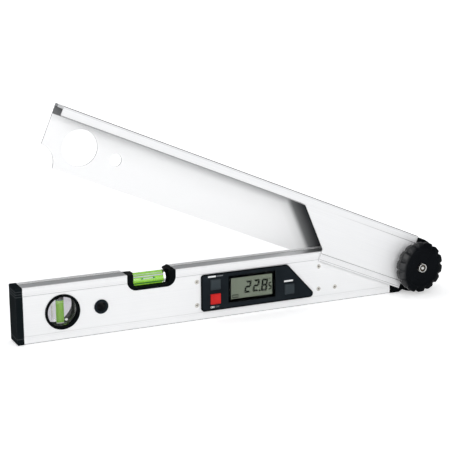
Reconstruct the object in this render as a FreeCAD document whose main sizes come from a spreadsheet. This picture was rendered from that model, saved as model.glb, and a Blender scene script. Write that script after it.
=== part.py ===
import FreeCAD, Part
import math
import os
import re
import Sketcher

# An electronic angle finder with two arms.  The base leg lies on its sole, the measuring arm is
# opened as in the photograph, and a knob at the hinge clamps it.
#
# Frame: X runs from the end cap to the hinge, the front face looks to -Y, Z is up, and the origin
# is the middle of the sole.  Every body is drawn with the pivot axis at x = 0, so a place along a
# leg is its distance from that axis, to -X.  Bodies of the base have z = 0 at the sole.  Bodies of
# the arm have z = 0 at the pivot axis, are drawn with the arm closed, and turn with opening_angle.

os.makedirs("parts", exist_ok=True)
document = FreeCAD.newDocument("angle_finder")
sizes = document.addObject("Spreadsheet::Sheet", "Sizes")

SIZES = {
    # Legs and pivot
    "leg_end_margin": 46.7,
    "sole_setback": 15.6,
    "pivot_height": 30.6,
    "opening_angle": 22.85,
    # Clearances and the overrun of cuts
    "slip_gap": 0.1,
    "running_gap": 0.05,
    "press_gap": 0.02,
    "overrun": 1,
    # Extruded profile of the base leg
    "base_height": 57,
    "base_depth": 23.2,
    "base_wall": 1.8,
    "base_web": 2.2,
    "face_recess": 0.4,
    "lower_band": 8,
    "upper_band": 8.5,
    "profile_edge_round": 0.6,
    "profile_inner_round": 1,
    "profile_setback": 27.8,
    "top_groove_width": 1.4,
    "top_groove_depth": 0.8,
    "top_groove_offset": 3.9,
    "top_rib_width": 0.6,
    "top_rib_depth": 0.4,
    "top_rib_pitch": 1.4,
    # End cap
    "cap_length": 7,
    "cap_edge_round": 1.2,
    "cap_plug_length": 14,
    "cap_plug_wall": 2,
    "cap_groove_width": 0.9,
    "cap_groove_depth": 0.5,
    "cap_groove_pitch": 2.6,
    "cap_groove_inset": 3.4,
    # Hinge block and its tongue in the profile
    "block_tongue_margin": 8.5,
    "block_tongue_wall": 3,
    "block_corner_run": 3.9,
    "block_corner_rise": 2.3,
    "block_lead_radius": 1.6,
    # Pivot bush, angle sensor and friction washer
    "bush_radius": 7,
    "bush_inset": 0.3,
    "sensor_pocket_radius": 21,
    "sensor_pocket_depth": 3,
    "sensor_radius": 19.5,
    "sensor_bore_radius": 8,
    "sensor_board_thickness": 1.6,
    "sensor_disc_thickness": 1.6,
    "friction_washer_radius": 14,
    # Plumb vial
    "plumb_vial_spacing": 39.9,
    "plumb_vial_height": 28.3,
    "plumb_ring_radius": 17.9,
    "plumb_ring_flange": 0.8,
    "plumb_ring_seat_radius": 16.6,
    "plumb_ring_bore_radius": 15.2,
    "plumb_block_radius": 15.6,
    "plumb_block_depth": 14,
    "plumb_tube_radius": 4.6,
    "plumb_tube_length": 25,
    "plumb_bubble_length": 2.4,
    # Hanging hole
    "hang_hole_spacing": 28,
    "hang_hole_height": 28.5,
    "hang_sleeve_bore_radius": 5,
    "hang_sleeve_radius": 6.3,
    "hang_sleeve_flange_radius": 7.3,
    "hang_sleeve_flange": 0.7,
    # Level vial in its notch
    "notch_spacing": 18.7,
    "notch_width": 52.4,
    "notch_depth": 16.7,
    "notch_round": 10,
    "saddle_side": 6.3,
    "saddle_floor": 2.8,
    "saddle_round": 6,
    "saddle_rear_slope": 7,
    "level_vial_radius": 6.7,
    "level_vial_top_inset": 1.5,
    "level_tube_radius": 5.2,
    "level_tube_wall": 2.2,
    "level_bubble_length": 10.5,
    "level_bubble_depth": 2.6,
    "bubble_width_share": 0.8,
    "vial_clip_overhang": 2.4,
    "vial_clip_width": 8,
    # Display panel
    "panel_far_margin": 10.2,
    "panel_tip_length": 27.6,
    "panel_slant_run": 36,
    "panel_band_gap": 0.7,
    "panel_thickness": 1.6,
    "panel_round": 3.3,
    "panel_tip_round": 4,
    "panel_lip": 2.2,
    "panel_body_round": 1.5,
    "panel_body_depth": 5.2,
    "panel_body_wall": 1.6,
    "window_reach": 197.3,
    "window_lift": 0.6,
    "window_width": 54.4,
    "window_rise": 28.8,
    "window_thickness": 1,
    "window_round": 1.2,
    "view_width": 48,
    "view_rise": 22.6,
    "lcd_border": 1.8,
    "lcd_thickness": 2.2,
    "board_thickness": 1.6,
    "chassis_thickness": 3.2,
    "chassis_far_margin": 9,
    "chassis_near_margin": 6.5,
    # Push buttons
    "button_width": 11.6,
    "button_rise": 11.2,
    "button_round": 0.9,
    "button_proud": 1.3,
    "button_flange": 1,
    "button_flange_thickness": 1,
    "button_travel": 0.8,
    "left_button_gap": 9,
    "right_button_gap": 11,
    "button_top_margin": 6.1,
    "button_spacing": 4.2,
    "switch_width": 6,
    "switch_thickness": 1.7,
    "switch_stem_radius": 1.7,
    # Battery behind its cover
    "battery_door_spacing": 7.7,
    "battery_length": 46.4,
    "battery_lift": 8.9,
    "battery_top_gap": 3,
    "battery_side_gap": 0.8,
    "battery_round": 2,
    "clip_thickness": 3.2,
    "tray_wall": 1.4,
    "battery_door_length": 68,
    "battery_door_margin": 2.4,
    "battery_door_opening": 52,
    "battery_door_lip": 2,
    "battery_door_thickness": 0.8,
    "battery_door_round": 2.5,
    "battery_door_screw_inset": 4,
    # Countersunk screws of the base
    "screw_head_radius": 2.5,
    "screw_head_depth": 1.3,
    "screw_radius": 1.4,
    "screw_length": 4.4,
    "cross_width": 0.6,
    "cross_length": 2.6,
    "cross_depth": 0.8,
    "panel_far_screw_gap": 4.4,
    "panel_near_screw_gap": 2.6,
    "block_screw_spacing": 20,
    "upper_screw_drop": 7,
    "lower_screw_lift": 7.3,
    # Measuring arm
    "arm_end_gap": 8.3,
    "arm_near_setback": 6.5,
    "arm_web_setback": 3.4,
    "arm_wall": 2,
    "arm_web": 3,
    "arm_side_gap": 0.8,
    "arm_top_gap": 1.6,
    "arm_skirt_lift": 0.2,
    "arm_edge_round": 1.9,
    "arm_upper_band": 8.2,
    "arm_lower_band": 8.5,
    "arm_lip": 10.3,
    "arm_lip_round": 2,
    "arm_cut_gap": 3.6,
    "arm_cut_run": 38.9,
    "arm_cut_lower_height": 13.1,
    "arm_cut_round": 3,
    "arm_corner_notch_radius": 18.8,
    "arm_vial_window_radius": 18.2,
    "arm_hang_hole_radius": 6.2,
    # Hinge covers on the arm
    "cheek_radius": 26,
    "cover_skin": 1,
    "cover_top_drop": 1.2,
    "cover_screw_circle": 20,
    "cover_screw_head_radius": 1.9,
    "cover_screw_head_depth": 0.9,
    "cover_screw_radius": 1,
    # Pivot stud
    "stud_radius": 5,
    "stud_thread_radius": 4,
    "stud_head_radius": 8.8,
    "stud_head_thickness": 2.2,
    "stud_reach": 34.5,
    "stud_end_chamfer": 0.6,
    "stud_socket_radius": 2,
    "stud_socket_depth": 3,
    # Clamp washer and knob
    "clamp_washer_radius": 12,
    "clamp_washer_thickness": 1.5,
    "knob_hub_radius": 13,
    "knob_back": 22.4,
    "knob_face": 33,
    "knob_radius": 28.2,
    "knob_back_radius": 27,
    "knob_back_round": 1.2,
    "knob_front_round": 2,
    "knob_dish_radius": 20,
    "knob_dish_floor_radius": 13,
    "knob_dish_depth": 1,
    "knob_flutes": 14,
    "knob_flute_radius": 7,
    "knob_flute_depth": 1.1,
    "insert_radius": 7,
    "insert_inset": 1.6,
}

for row, (alias, size) in enumerate(SIZES.items(), 1):
    sizes.set(f"A{row}", alias.replace("_", " "))
    sizes.set(f"B{row}", str(size))
    sizes.setAlias(f"B{row}", alias)
document.recompute()

# Places along the leg, each from its neighbour nearer to the display, as distances from the pivot
LEFT_BUTTON = "(window_reach + window_width / 2 + left_button_gap + button_width / 2)"
RIGHT_BUTTON = "(window_reach - window_width / 2 - right_button_gap - button_width / 2)"
PANEL_FAR = f"({LEFT_BUTTON} + button_width / 2 + panel_far_margin)"
PANEL_TIP = f"({RIGHT_BUTTON} - button_width / 2 - panel_tip_length)"
FAR_SCREWS = f"({PANEL_FAR} + panel_far_screw_gap)"
NEAR_SCREWS = f"({PANEL_TIP} - panel_near_screw_gap)"
BLOCK_SCREWS = f"({NEAR_SCREWS} - block_screw_spacing)"
TONGUE_END = f"({BLOCK_SCREWS} + block_tongue_margin)"
CHASSIS_FAR = f"({PANEL_FAR} + chassis_far_margin)"
BATTERY = f"({CHASSIS_FAR} + battery_door_spacing + battery_door_length / 2)"
LEVEL_VIAL = f"({CHASSIS_FAR} + notch_spacing + notch_width / 2)"
HANG_HOLE = f"({LEVEL_VIAL} + notch_width / 2 + hang_hole_spacing)"
PLUMB_VIAL = f"({HANG_HOLE} + plumb_vial_spacing)"
LEG_END = f"({PLUMB_VIAL} + leg_end_margin)"
ARM_END = f"({LEG_END} - arm_end_gap)"
ARM_CUT_LOWER = f"({PANEL_TIP} - arm_cut_gap)"
ARM_CUT_UPPER = f"({ARM_CUT_LOWER} + arm_cut_run)"

# Heights on the base leg
PANEL_BOTTOM = "(lower_band + panel_band_gap)"
PANEL_TOP = "(base_height - upper_band - panel_band_gap)"
WINDOW = f"(({PANEL_BOTTOM} + {PANEL_TOP}) / 2 + window_lift)"
UPPER_BUTTON = f"({PANEL_TOP} - button_top_margin - button_rise / 2)"
LOWER_BUTTON = f"({UPPER_BUTTON} - button_rise - button_spacing)"
UPPER_SCREWS = f"({PANEL_TOP} - upper_screw_drop)"
LOWER_SCREWS = f"({PANEL_BOTTOM} + lower_screw_lift)"

# Depths and radii that several pieces share
HALF_DEPTH = "(base_depth / 2)"
FIELD = "(base_depth / 2 - face_recess)"
CAVITY = "(base_depth / 2 - face_recess - base_wall)"
CAP_SEAM = f"({LEG_END} - cap_length)"
HUB_RADIUS = "(base_height - pivot_height)"
ARM_INNER = "(base_depth / 2 + arm_side_gap)"
ARM_OUTER = "(base_depth / 2 + arm_side_gap + arm_wall)"
ARM_FIELD = "(base_depth / 2 + arm_side_gap + arm_wall - face_recess)"
ARM_TOP = "(base_height + arm_top_gap + arm_web - pivot_height)"
ARM_BOTTOM = "(pivot_height - arm_skirt_lift)"
COVER_OUTER = "(base_depth / 2 + arm_side_gap + arm_wall + cover_skin)"
COVER_TOP = f"({ARM_TOP} - cover_top_drop)"
NOTCH_FLOOR = "(base_height - notch_depth)"
LEVEL_VIAL_HEIGHT = "(base_height - level_vial_top_inset - level_vial_radius)"
BATTERY_BOTTOM = "(base_web + battery_lift)"
BATTERY_TOP = f"({NOTCH_FLOOR} - battery_top_gap)"
BATTERY_RISE = f"({BATTERY_TOP} - {BATTERY_BOTTOM})"
BATTERY_HEIGHT = f"(({BATTERY_TOP} + {BATTERY_BOTTOM}) / 2)"
BATTERY_DEPTH = f"(2 * ({CAVITY} - battery_side_gap))"
DOOR_RISE = f"({BATTERY_RISE} + 2 * battery_door_margin)"
DOOR_OPENING_RISE = f"({DOOR_RISE} - 2 * battery_door_lip)"
PANEL_FACE = "(base_depth / 2 - face_recess + panel_thickness)"
PANEL_BACK = "(base_depth / 2 - face_recess - panel_body_depth)"
BUTTON_STOP = "(base_depth / 2 - face_recess - button_flange_thickness)"
DOOR_SCREW = f"({BATTERY} + battery_door_length / 2 - battery_door_screw_inset)"
DOOR_FACE = "(base_depth / 2 - face_recess + battery_door_thickness)"
HUB_SEAT = f"({COVER_OUTER} + clamp_washer_thickness)"


def bound(text):
    """The expression with each size's name pointed at the spreadsheet."""
    return re.sub(r"[a-z][a-z_]+(?!\w*\()", lambda word: "Sizes." + word.group(), text)


def number(text):
    return float(sizes.evalExpression(bound(text)))


def body_on(leg, label):
    """A body in the frame of the base or of the turned arm."""
    body = document.addObject("PartDesign::Body", label)
    body.Label = label
    body.AllowCompound = True
    if leg == "arm":
        body.Placement = FreeCAD.Placement(
            FreeCAD.Vector(0, 0, 0), FreeCAD.Rotation(FreeCAD.Vector(0, 1, 0), number("opening_angle")))
        body.setExpression("Placement.Rotation.Angle", bound("opening_angle"))
        body.setExpression("Placement.Base.z", bound("pivot_height"))
    body.setExpression("Placement.Base.x", bound(f"({LEG_END} + sole_setback) / 2"))
    return body


# Each plane: the origin plane's role, then how far the sketch moves along its own three axes for
# a place (x, y, z) of the body.
PLANES = {
    "front": ("XZ_Plane", lambda x, y, z: (x, z, f"-({y})")),
    "end": ("YZ_Plane", lambda x, y, z: (y, z, x)),
    "top": ("XY_Plane", lambda x, y, z: (x, y, z)),
}


def sketch_on(body, plane, x="0", y="0", z="0"):
    """A sketch on an origin plane of the body, moved to a place given by expressions."""
    role, local = PLANES[plane]
    sketch = body.newObject("Sketcher::SketchObject", f"{body.Label}_{plane}")
    sketch.AttachmentSupport = [(next(f for f in body.Origin.OriginFeatures if f.Role == role), "")]
    sketch.MapMode = "FlatFace"
    for axis, distance in zip("xyz", local(x, y, z)):
        if distance not in ("0", "-(0)"):
            sketch.setExpression(f"AttachmentOffset.Base.{axis}", bound(distance))
    return sketch


def fix(sketch, kind, elements, text):
    """A dimension of the sketch, bound to an expression."""
    index = sketch.addConstraint(Sketcher.Constraint(kind, *elements, number(text)))
    sketch.setExpression(f"Constraints[{index}]", bound(text))


def circle(sketch, across, along, radius):
    centre = FreeCAD.Vector(number(across), number(along), 0)
    index = sketch.addGeometry(Part.Circle(centre, FreeCAD.Vector(0, 0, 1), number(radius)), False)
    fix(sketch, "DistanceX", (-1, 1, index, 3), across)
    fix(sketch, "DistanceY", (-1, 1, index, 3), along)
    fix(sketch, "Radius", (index,), radius)


def outline(sketch, corners):
    """A closed outline of straight sides; a corner with a third value is rounded to that radius."""
    points = [FreeCAD.Vector(number(corner[0]), number(corner[1]), 0) for corner in corners]
    count = len(corners)
    ends = []
    for index, corner in enumerate(corners):
        here = points[index]
        back = (points[index - 1] - here).normalize()
        ahead = (points[(index + 1) % count] - here).normalize()
        if len(corner) == 2:
            ends.append((here, here, None))
            continue
        radius = number(corner[2])
        half_angle = back.getAngle(ahead) / 2
        reach = radius / math.tan(half_angle)
        centre = here + (back + ahead).normalize() * (radius / math.sin(half_angle))
        ends.append((here + back * reach, here + ahead * reach, (centre, radius, back.cross(ahead).z > 0)))
    sides = []
    for index in range(count):
        start = ends[index][1]
        end = ends[(index + 1) % count][0]
        sides.append(sketch.addGeometry(Part.LineSegment(start, end), False))
    for index, corner in enumerate(corners):
        before, after = sides[index - 1], sides[index]
        enter, leave, arc = ends[index]
        if arc is None:
            sketch.addConstraint(Sketcher.Constraint("Coincident", before, 2, after, 1))
            fix(sketch, "DistanceX", (-1, 1, after, 1), corner[0])
            fix(sketch, "DistanceY", (-1, 1, after, 1), corner[1])
            continue
        centre, radius, clockwise = arc
        first, last = (leave, enter) if clockwise else (enter, leave)
        start_angle = math.atan2(first.y - centre.y, first.x - centre.x)
        end_angle = math.atan2(last.y - centre.y, last.x - centre.x)
        round_circle = Part.Circle(centre, FreeCAD.Vector(0, 0, 1), radius)
        bend = sketch.addGeometry(Part.ArcOfCircle(round_circle, start_angle, end_angle), False)
        first_end, last_end = (2, 1) if clockwise else (1, 2)
        sketch.addConstraint(Sketcher.Constraint("Tangent", before, 2, bend, first_end))
        sketch.addConstraint(Sketcher.Constraint("Tangent", after, 1, bend, last_end))
        fix(sketch, "Radius", (bend,), corner[2])
        virtual = sketch.addGeometry(Part.Point(points[index]), True)
        fix(sketch, "DistanceX", (-1, 1, virtual, 1), corner[0])
        fix(sketch, "DistanceY", (-1, 1, virtual, 1), corner[1])
        sketch.addConstraint(Sketcher.Constraint("PointOnObject", virtual, 1, before))
        sketch.addConstraint(Sketcher.Constraint("PointOnObject", virtual, 1, after))


def rectangle(sketch, across, along, width, rise, radius=None):
    """A rectangle about its middle, with round corners if a radius is given."""
    corners = []
    for side, level in (("-", "-"), ("+", "-"), ("+", "+"), ("-", "+")):
        corner = (f"{across} {side} ({width}) / 2", f"{along} {level} ({rise}) / 2")
        corners.append(corner + ((radius,) if radius else ()))
    outline(sketch, corners)


def pad(sketch, length):
    """Solid from the sketch, to -Y from a front plane, to +X from an end plane."""
    feature = sketch.getParentGeoFeatureGroup().newObject("PartDesign::Pad", f"{sketch.Name}_pad")
    feature.Profile = sketch
    feature.setExpression("Length", bound(length))
    sketch.Visibility = False
    return feature


def pocket(sketch, length=None, reverse=False):
    """Cut from the sketch, to +Y from a front plane, to -X from an end plane, or the reverse."""
    feature = sketch.getParentGeoFeatureGroup().newObject("PartDesign::Pocket", f"{sketch.Name}_pocket")
    feature.Profile = sketch
    feature.Reversed = reverse
    if length:
        feature.setExpression("Length", bound(length))
    else:
        feature.Type = "ThroughAll"
    return feature


def turn(sketch, axis="V_Axis", cut=False):
    """The sketch turned about its own axis, as a solid or as a cut."""
    kind = "PartDesign::Groove" if cut else "PartDesign::Revolution"
    feature = sketch.getParentGeoFeatureGroup().newObject(kind, f"{sketch.Name}_turn")
    feature.Profile = sketch
    feature.ReferenceAxis = (sketch, [axis])
    feature.Angle = 360
    return feature


def turned_on_y(body, x, z, profile, cut=False):
    """A profile of (radius, y) turned about the line along Y through (x, z)."""
    sketch = sketch_on(body, "top", x=x, z=z)
    outline(sketch, profile)
    return turn(sketch, cut=cut)


# The base leg

BASE_SCREWS = [
    (FAR_SCREWS, UPPER_SCREWS, "-"),
    (FAR_SCREWS, LOWER_SCREWS, "-"),
    (NEAR_SCREWS, UPPER_SCREWS, "-"),
    (NEAR_SCREWS, LOWER_SCREWS, "-"),
    (BLOCK_SCREWS, UPPER_SCREWS, "-"),
    (BLOCK_SCREWS, LOWER_SCREWS, "-"),
    (BLOCK_SCREWS, UPPER_SCREWS, ""),
    (BLOCK_SCREWS, LOWER_SCREWS, ""),
]


def base_profile():
    body = body_on("base", "base_profile")
    section = sketch_on(body, "end", x=f"-{CAP_SEAM}")
    lower = "lower_band"
    upper = "(base_height - upper_band)"
    outline(section, [
        (f"-{HALF_DEPTH}", "0", "profile_edge_round"),
        (HALF_DEPTH, "0", "profile_edge_round"),
        (HALF_DEPTH, lower),
        (FIELD, lower),
        (FIELD, upper),
        (HALF_DEPTH, upper),
        (HALF_DEPTH, "base_height", "profile_edge_round"),
        (f"-{HALF_DEPTH}", "base_height", "profile_edge_round"),
        (f"-{HALF_DEPTH}", upper),
        (f"-{FIELD}", upper),
        (f"-{FIELD}", lower),
        (f"-{HALF_DEPTH}", lower),
    ])
    rectangle(section, "0", "base_height / 2", f"2 * {CAVITY}", "base_height - 2 * base_web",
              "profile_inner_round")
    pad(section, f"{CAP_SEAM} - profile_setback")

    # One deep groove and a ribbed band run along the top face
    grooves = sketch_on(body, "end", x="-profile_setback")
    rectangle(grooves, "top_groove_offset", "base_height", "top_groove_width", "2 * top_groove_depth")
    for rib in range(1, 5):
        across = f"top_groove_offset + top_groove_width / 2 + {rib} * top_rib_pitch"
        rectangle(grooves, f"({across} - top_rib_width)", "base_height", "top_rib_width",
                  "2 * top_rib_depth")
    pocket(grooves)

    # Notch of the level vial
    notch = sketch_on(body, "front", y=f"-({HALF_DEPTH} + overrun)")
    outline(notch, notch_outline("0", "overrun"))
    pocket(notch)

    # Round holes right through for the plumb vial and the hanging hole
    holes = sketch_on(body, "front", y=f"-({HALF_DEPTH} + overrun)")
    circle(holes, f"-{PLUMB_VIAL}", "plumb_vial_height", "plumb_ring_seat_radius + slip_gap")
    circle(holes, f"-{HANG_HOLE}", "hang_hole_height", "hang_sleeve_radius + slip_gap")
    pocket(holes)

    # Opening of the display panel in the front wall
    opening = sketch_on(body, "front", y=f"-({HALF_DEPTH} + overrun)")
    outline(opening, panel_outline("(panel_lip - slip_gap)", "panel_body_round", "panel_body_round"))
    pocket(opening, "overrun + face_recess + base_wall + overrun")

    # Opening of the battery in the rear wall
    door = sketch_on(body, "front", y=f"{CAVITY} - overrun")
    rectangle(door, f"-{BATTERY}", BATTERY_HEIGHT, "battery_door_opening", DOOR_OPENING_RISE,
              "battery_door_round")
    pocket(door, "overrun + base_wall + face_recess + overrun")
    turned_on_y(body, f"-{DOOR_SCREW}", BATTERY_HEIGHT,
                screw_profile("", DOOR_FACE, "(battery_door_thickness + base_wall + overrun)", "press_gap"),
                cut=True)

    # Countersunk holes, in the front wall for all screws and in the rear wall for the block's
    for reach, height, side in BASE_SCREWS:
        turned_on_y(body, f"-{reach}", height,
                    screw_profile(side, FIELD, "(base_wall + overrun)", "press_gap"), cut=True)


def notch_outline(inset, above):
    """The notch in the top of the base, drawn in by an inset."""
    left = f"-{LEVEL_VIAL} - notch_width / 2 + {inset}"
    right = f"-{LEVEL_VIAL} + notch_width / 2 - {inset}"
    floor = f"{NOTCH_FLOOR} + {inset}"
    return [
        (left, f"base_height + {above}"),
        (left, floor, f"notch_round - {inset}"),
        (right, floor, f"notch_round - {inset}"),
        (right, f"base_height + {above}"),
    ]


def panel_outline(inset, corner_round, tip_round):
    """The display panel's outline with its slanted end, drawn in by an inset on every side."""
    far = f"-{PANEL_FAR} + {inset}"
    bottom = f"{PANEL_BOTTOM} + {inset}"
    top = f"{PANEL_TOP} - {inset}"
    run = "panel_slant_run"
    rise = f"({PANEL_TOP} - {PANEL_BOTTOM})"
    slant = f"sqrt({run} ^ 2 + {rise} ^ 2)"
    near_top = f"-{PANEL_TIP} - {run} - {inset} * ({slant} - {run}) / {rise}"
    near_bottom = f"-{PANEL_TIP} - {inset} * ({slant} + {run}) / {rise}"
    return [
        (far, bottom, corner_round),
        (near_bottom, bottom, tip_round),
        (near_top, top, corner_round),
        (far, top, corner_round),
    ]


def screw_profile(side, face, length, grown="0"):
    """Half outline of a countersunk screw along Y, with its head at the face, or of its hole."""
    return [
        ("0", f"{side}({face})"),
        (f"screw_head_radius + {grown}", f"{side}({face})"),
        (f"screw_radius + {grown}", f"{side}({face} - screw_head_depth)"),
        (f"screw_radius + {grown}", f"{side}({face} - {length})"),
        ("0", f"{side}({face} - {length})"),
    ]


def end_cap():
    body = body_on("base", "end_cap")
    section = sketch_on(body, "front", y=HALF_DEPTH)
    outline(section, [
        (f"-{LEG_END}", "0", "cap_edge_round"),
        (f"-{CAP_SEAM}", "0"),
        (f"-{CAP_SEAM}", "base_height"),
        (f"-{LEG_END}", "base_height", "cap_edge_round"),
    ])
    pad(section, "base_depth")

    # The plug in the profile is a rectangular tube
    plug = sketch_on(body, "end", x=f"-{CAP_SEAM}")
    width = f"(2 * {CAVITY} - 2 * slip_gap)"
    rise = "(base_height - 2 * base_web - 2 * slip_gap)"
    rectangle(plug, "0", "base_height / 2", width, rise, "profile_inner_round")
    rectangle(plug, "0", "base_height / 2", f"{width} - 2 * cap_plug_wall", f"{rise} - 2 * cap_plug_wall")
    pad(plug, "cap_plug_length")

    # Grip grooves, three near the top and one near the bottom, on both faces
    grooves = sketch_on(body, "end", x=f"-{CAP_SEAM}")
    heights = [f"base_height - cap_groove_inset - {step} * cap_groove_pitch" for step in range(3)]
    heights.append("cap_groove_inset + cap_groove_pitch")
    for height in heights:
        for side in ("-", ""):
            rectangle(grooves, f"{side}{HALF_DEPTH}", height, "2 * cap_groove_depth", "cap_groove_width")
    pocket(grooves)


def hinge_block():
    body = body_on("base", "hinge_block")
    block = sketch_on(body, "front", y=HALF_DEPTH)
    low = f"(pivot_height - {HUB_RADIUS})"
    outline(block, [
        ("-profile_setback", "0"),
        ("-sole_setback", "0"),
        ("-sole_setback + block_corner_run", "block_corner_rise"),
        ("-sole_setback + block_corner_run", low),
        ("0", low),
        ("0", "base_height"),
        ("-profile_setback", "base_height"),
    ])
    pad(block, "base_depth")
    hub = sketch_on(body, "front", y=HALF_DEPTH)
    circle(hub, "0", "pivot_height", HUB_RADIUS)
    pad(hub, "base_depth")

    # Tongue in the profile, a tube open at its far end
    tongue = sketch_on(body, "end", x=f"-{TONGUE_END}")
    width = f"(2 * {CAVITY} - 2 * slip_gap)"
    rise = "(base_height - 2 * base_web - 2 * slip_gap)"
    rectangle(tongue, "0", "base_height / 2", width, rise, "profile_inner_round")
    rectangle(tongue, "0", "base_height / 2", f"{width} - 2 * block_tongue_wall",
              f"{rise} - 2 * block_tongue_wall")
    pad(tongue, f"{TONGUE_END} - profile_setback")

    # Bore of the bush, and the sensor's pocket with its lead hole at the rear
    bore = sketch_on(body, "front", y=f"-({HALF_DEPTH} + overrun)")
    circle(bore, "0", "pivot_height", "bush_radius + press_gap")
    pocket(bore)
    sensor = sketch_on(body, "front", y=f"{HALF_DEPTH} - sensor_pocket_depth")
    circle(sensor, "0", "pivot_height", "sensor_pocket_radius")
    pocket(sensor)
    lead = sketch_on(body, "end", x="-(profile_setback + overrun)")
    circle(lead, f"{HALF_DEPTH} - sensor_pocket_depth - block_lead_radius / 2", "pivot_height",
           "block_lead_radius")
    pocket(lead, "overrun + profile_setback - sensor_pocket_radius + 2 * block_lead_radius", reverse=True)

    # Thread bores of the screws that hold the tongue
    for height in (UPPER_SCREWS, LOWER_SCREWS):
        threads = sketch_on(body, "front", y=f"-({CAVITY} + overrun)")
        circle(threads, f"-{BLOCK_SCREWS}", height, "screw_radius + press_gap")
        pocket(threads)


def screws(label, places, face=FIELD):
    """Countersunk cross-recessed screws in one node, each a solid of its own."""
    body = body_on("base", label)
    for reach, height, side in places:
        turned_on_y(body, f"-({reach})", height, screw_profile(side, face, "screw_length"))
        cross = sketch_on(body, "front", x=f"-({reach})", y=f"{side}({face})", z=height)
        outline(cross, cross_outline("(cross_width / 2)", "(cross_length / 2)"))
        pocket(cross, "cross_depth", reverse=side == "")


def cross_outline(narrow, wide):
    """The twelve corners of an upright cross about the sketch's own origin."""
    quarter = [(wide, narrow), (narrow, narrow), (narrow, wide)]
    corners = []
    for turns in range(4):
        for across, along in quarter:
            corners.append((across, along))
        quarter = [(f"-{along}", across) if not along.startswith("-") else (along[1:], across)
                   for across, along in quarter]
    return corners


def pivot_bush():
    body = body_on("base", "pivot_bush")
    front = f"-({HALF_DEPTH} - bush_inset)"
    turned_on_y(body, "0", "pivot_height", [
        ("stud_radius + running_gap", front),
        ("bush_radius", front),
        ("bush_radius", ARM_INNER),
        ("stud_radius + running_gap", ARM_INNER),
    ])


def sensor_board():
    body = body_on("base", "angle_sensor_board")
    bottom = f"({HALF_DEPTH} - sensor_pocket_depth)"
    turned_on_y(body, "0", "pivot_height", [
        ("sensor_bore_radius", bottom),
        ("sensor_radius", bottom),
        ("sensor_radius", f"{bottom} + sensor_board_thickness"),
        ("sensor_bore_radius", f"{bottom} + sensor_board_thickness"),
    ])


def plumb_vial():
    flange = f"({FIELD} + plumb_ring_flange)"
    half_block = "(plumb_block_depth / 2)"
    for label, side in (("plumb_vial_ring_front", "-"), ("plumb_vial_ring_rear", "")):
        ring = body_on("base", label)
        turned_on_y(ring, f"-{PLUMB_VIAL}", "plumb_vial_height", [
            ("plumb_ring_bore_radius", f"{side}{flange}"),
            ("plumb_ring_radius", f"{side}{flange}"),
            ("plumb_ring_radius", f"{side}{FIELD}"),
            ("plumb_ring_seat_radius", f"{side}{FIELD}"),
            ("plumb_ring_seat_radius", f"{side}slip_gap"),
            ("plumb_block_radius + slip_gap", f"{side}slip_gap"),
            ("plumb_block_radius + slip_gap", f"{side}({half_block} + slip_gap)"),
            ("plumb_ring_bore_radius", f"{side}({half_block} + slip_gap)"),
        ])

    block = body_on("base", "plumb_vial_block")
    turned_on_y(block, f"-{PLUMB_VIAL}", "plumb_vial_height", [
        ("0", f"-{half_block}"),
        ("plumb_block_radius", f"-{half_block}"),
        ("plumb_block_radius", half_block),
        ("0", half_block),
    ])
    tube = sketch_on(block, "front", x=f"-{PLUMB_VIAL}", z="plumb_vial_height")
    outline(tube, tube_outline("plumb_tube_length / 2", "plumb_tube_radius", upright=True))
    turn(tube, cut=True)

    fluid = body_on("base", "plumb_vial_fluid")
    fill = sketch_on(fluid, "front", x=f"-{PLUMB_VIAL}", z="plumb_vial_height")
    half = "(plumb_tube_length / 2 - press_gap)"
    outline(fill, [
        ("0", f"-{half}"),
        ("plumb_tube_radius - press_gap", f"-{half}"),
        ("plumb_tube_radius - press_gap", f"{half} - plumb_bubble_length"),
        ("0", f"{half} - plumb_bubble_length"),
    ])
    turn(fill)


def tube_outline(half_length, radius, upright=False):
    """Half outline of a round chamber, along the sketch's upright or level axis."""
    corners = [
        ("0", f"-({half_length})"),
        (radius, f"-({half_length})"),
        (radius, half_length),
        ("0", half_length),
    ]
    if upright:
        return corners
    return [(along, across) for across, along in corners]


def hang_sleeve():
    body = body_on("base", "hang_hole_sleeve")
    flange = f"({FIELD} + hang_sleeve_flange)"
    turned_on_y(body, f"-{HANG_HOLE}", "hang_hole_height", [
        ("hang_sleeve_bore_radius", f"-{flange}"),
        ("hang_sleeve_flange_radius", f"-{flange}"),
        ("hang_sleeve_flange_radius", f"-{FIELD}"),
        ("hang_sleeve_radius", f"-{FIELD}"),
        ("hang_sleeve_radius", FIELD),
        ("hang_sleeve_flange_radius", FIELD),
        ("hang_sleeve_flange_radius", flange),
        ("hang_sleeve_bore_radius", flange),
    ])


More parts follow.
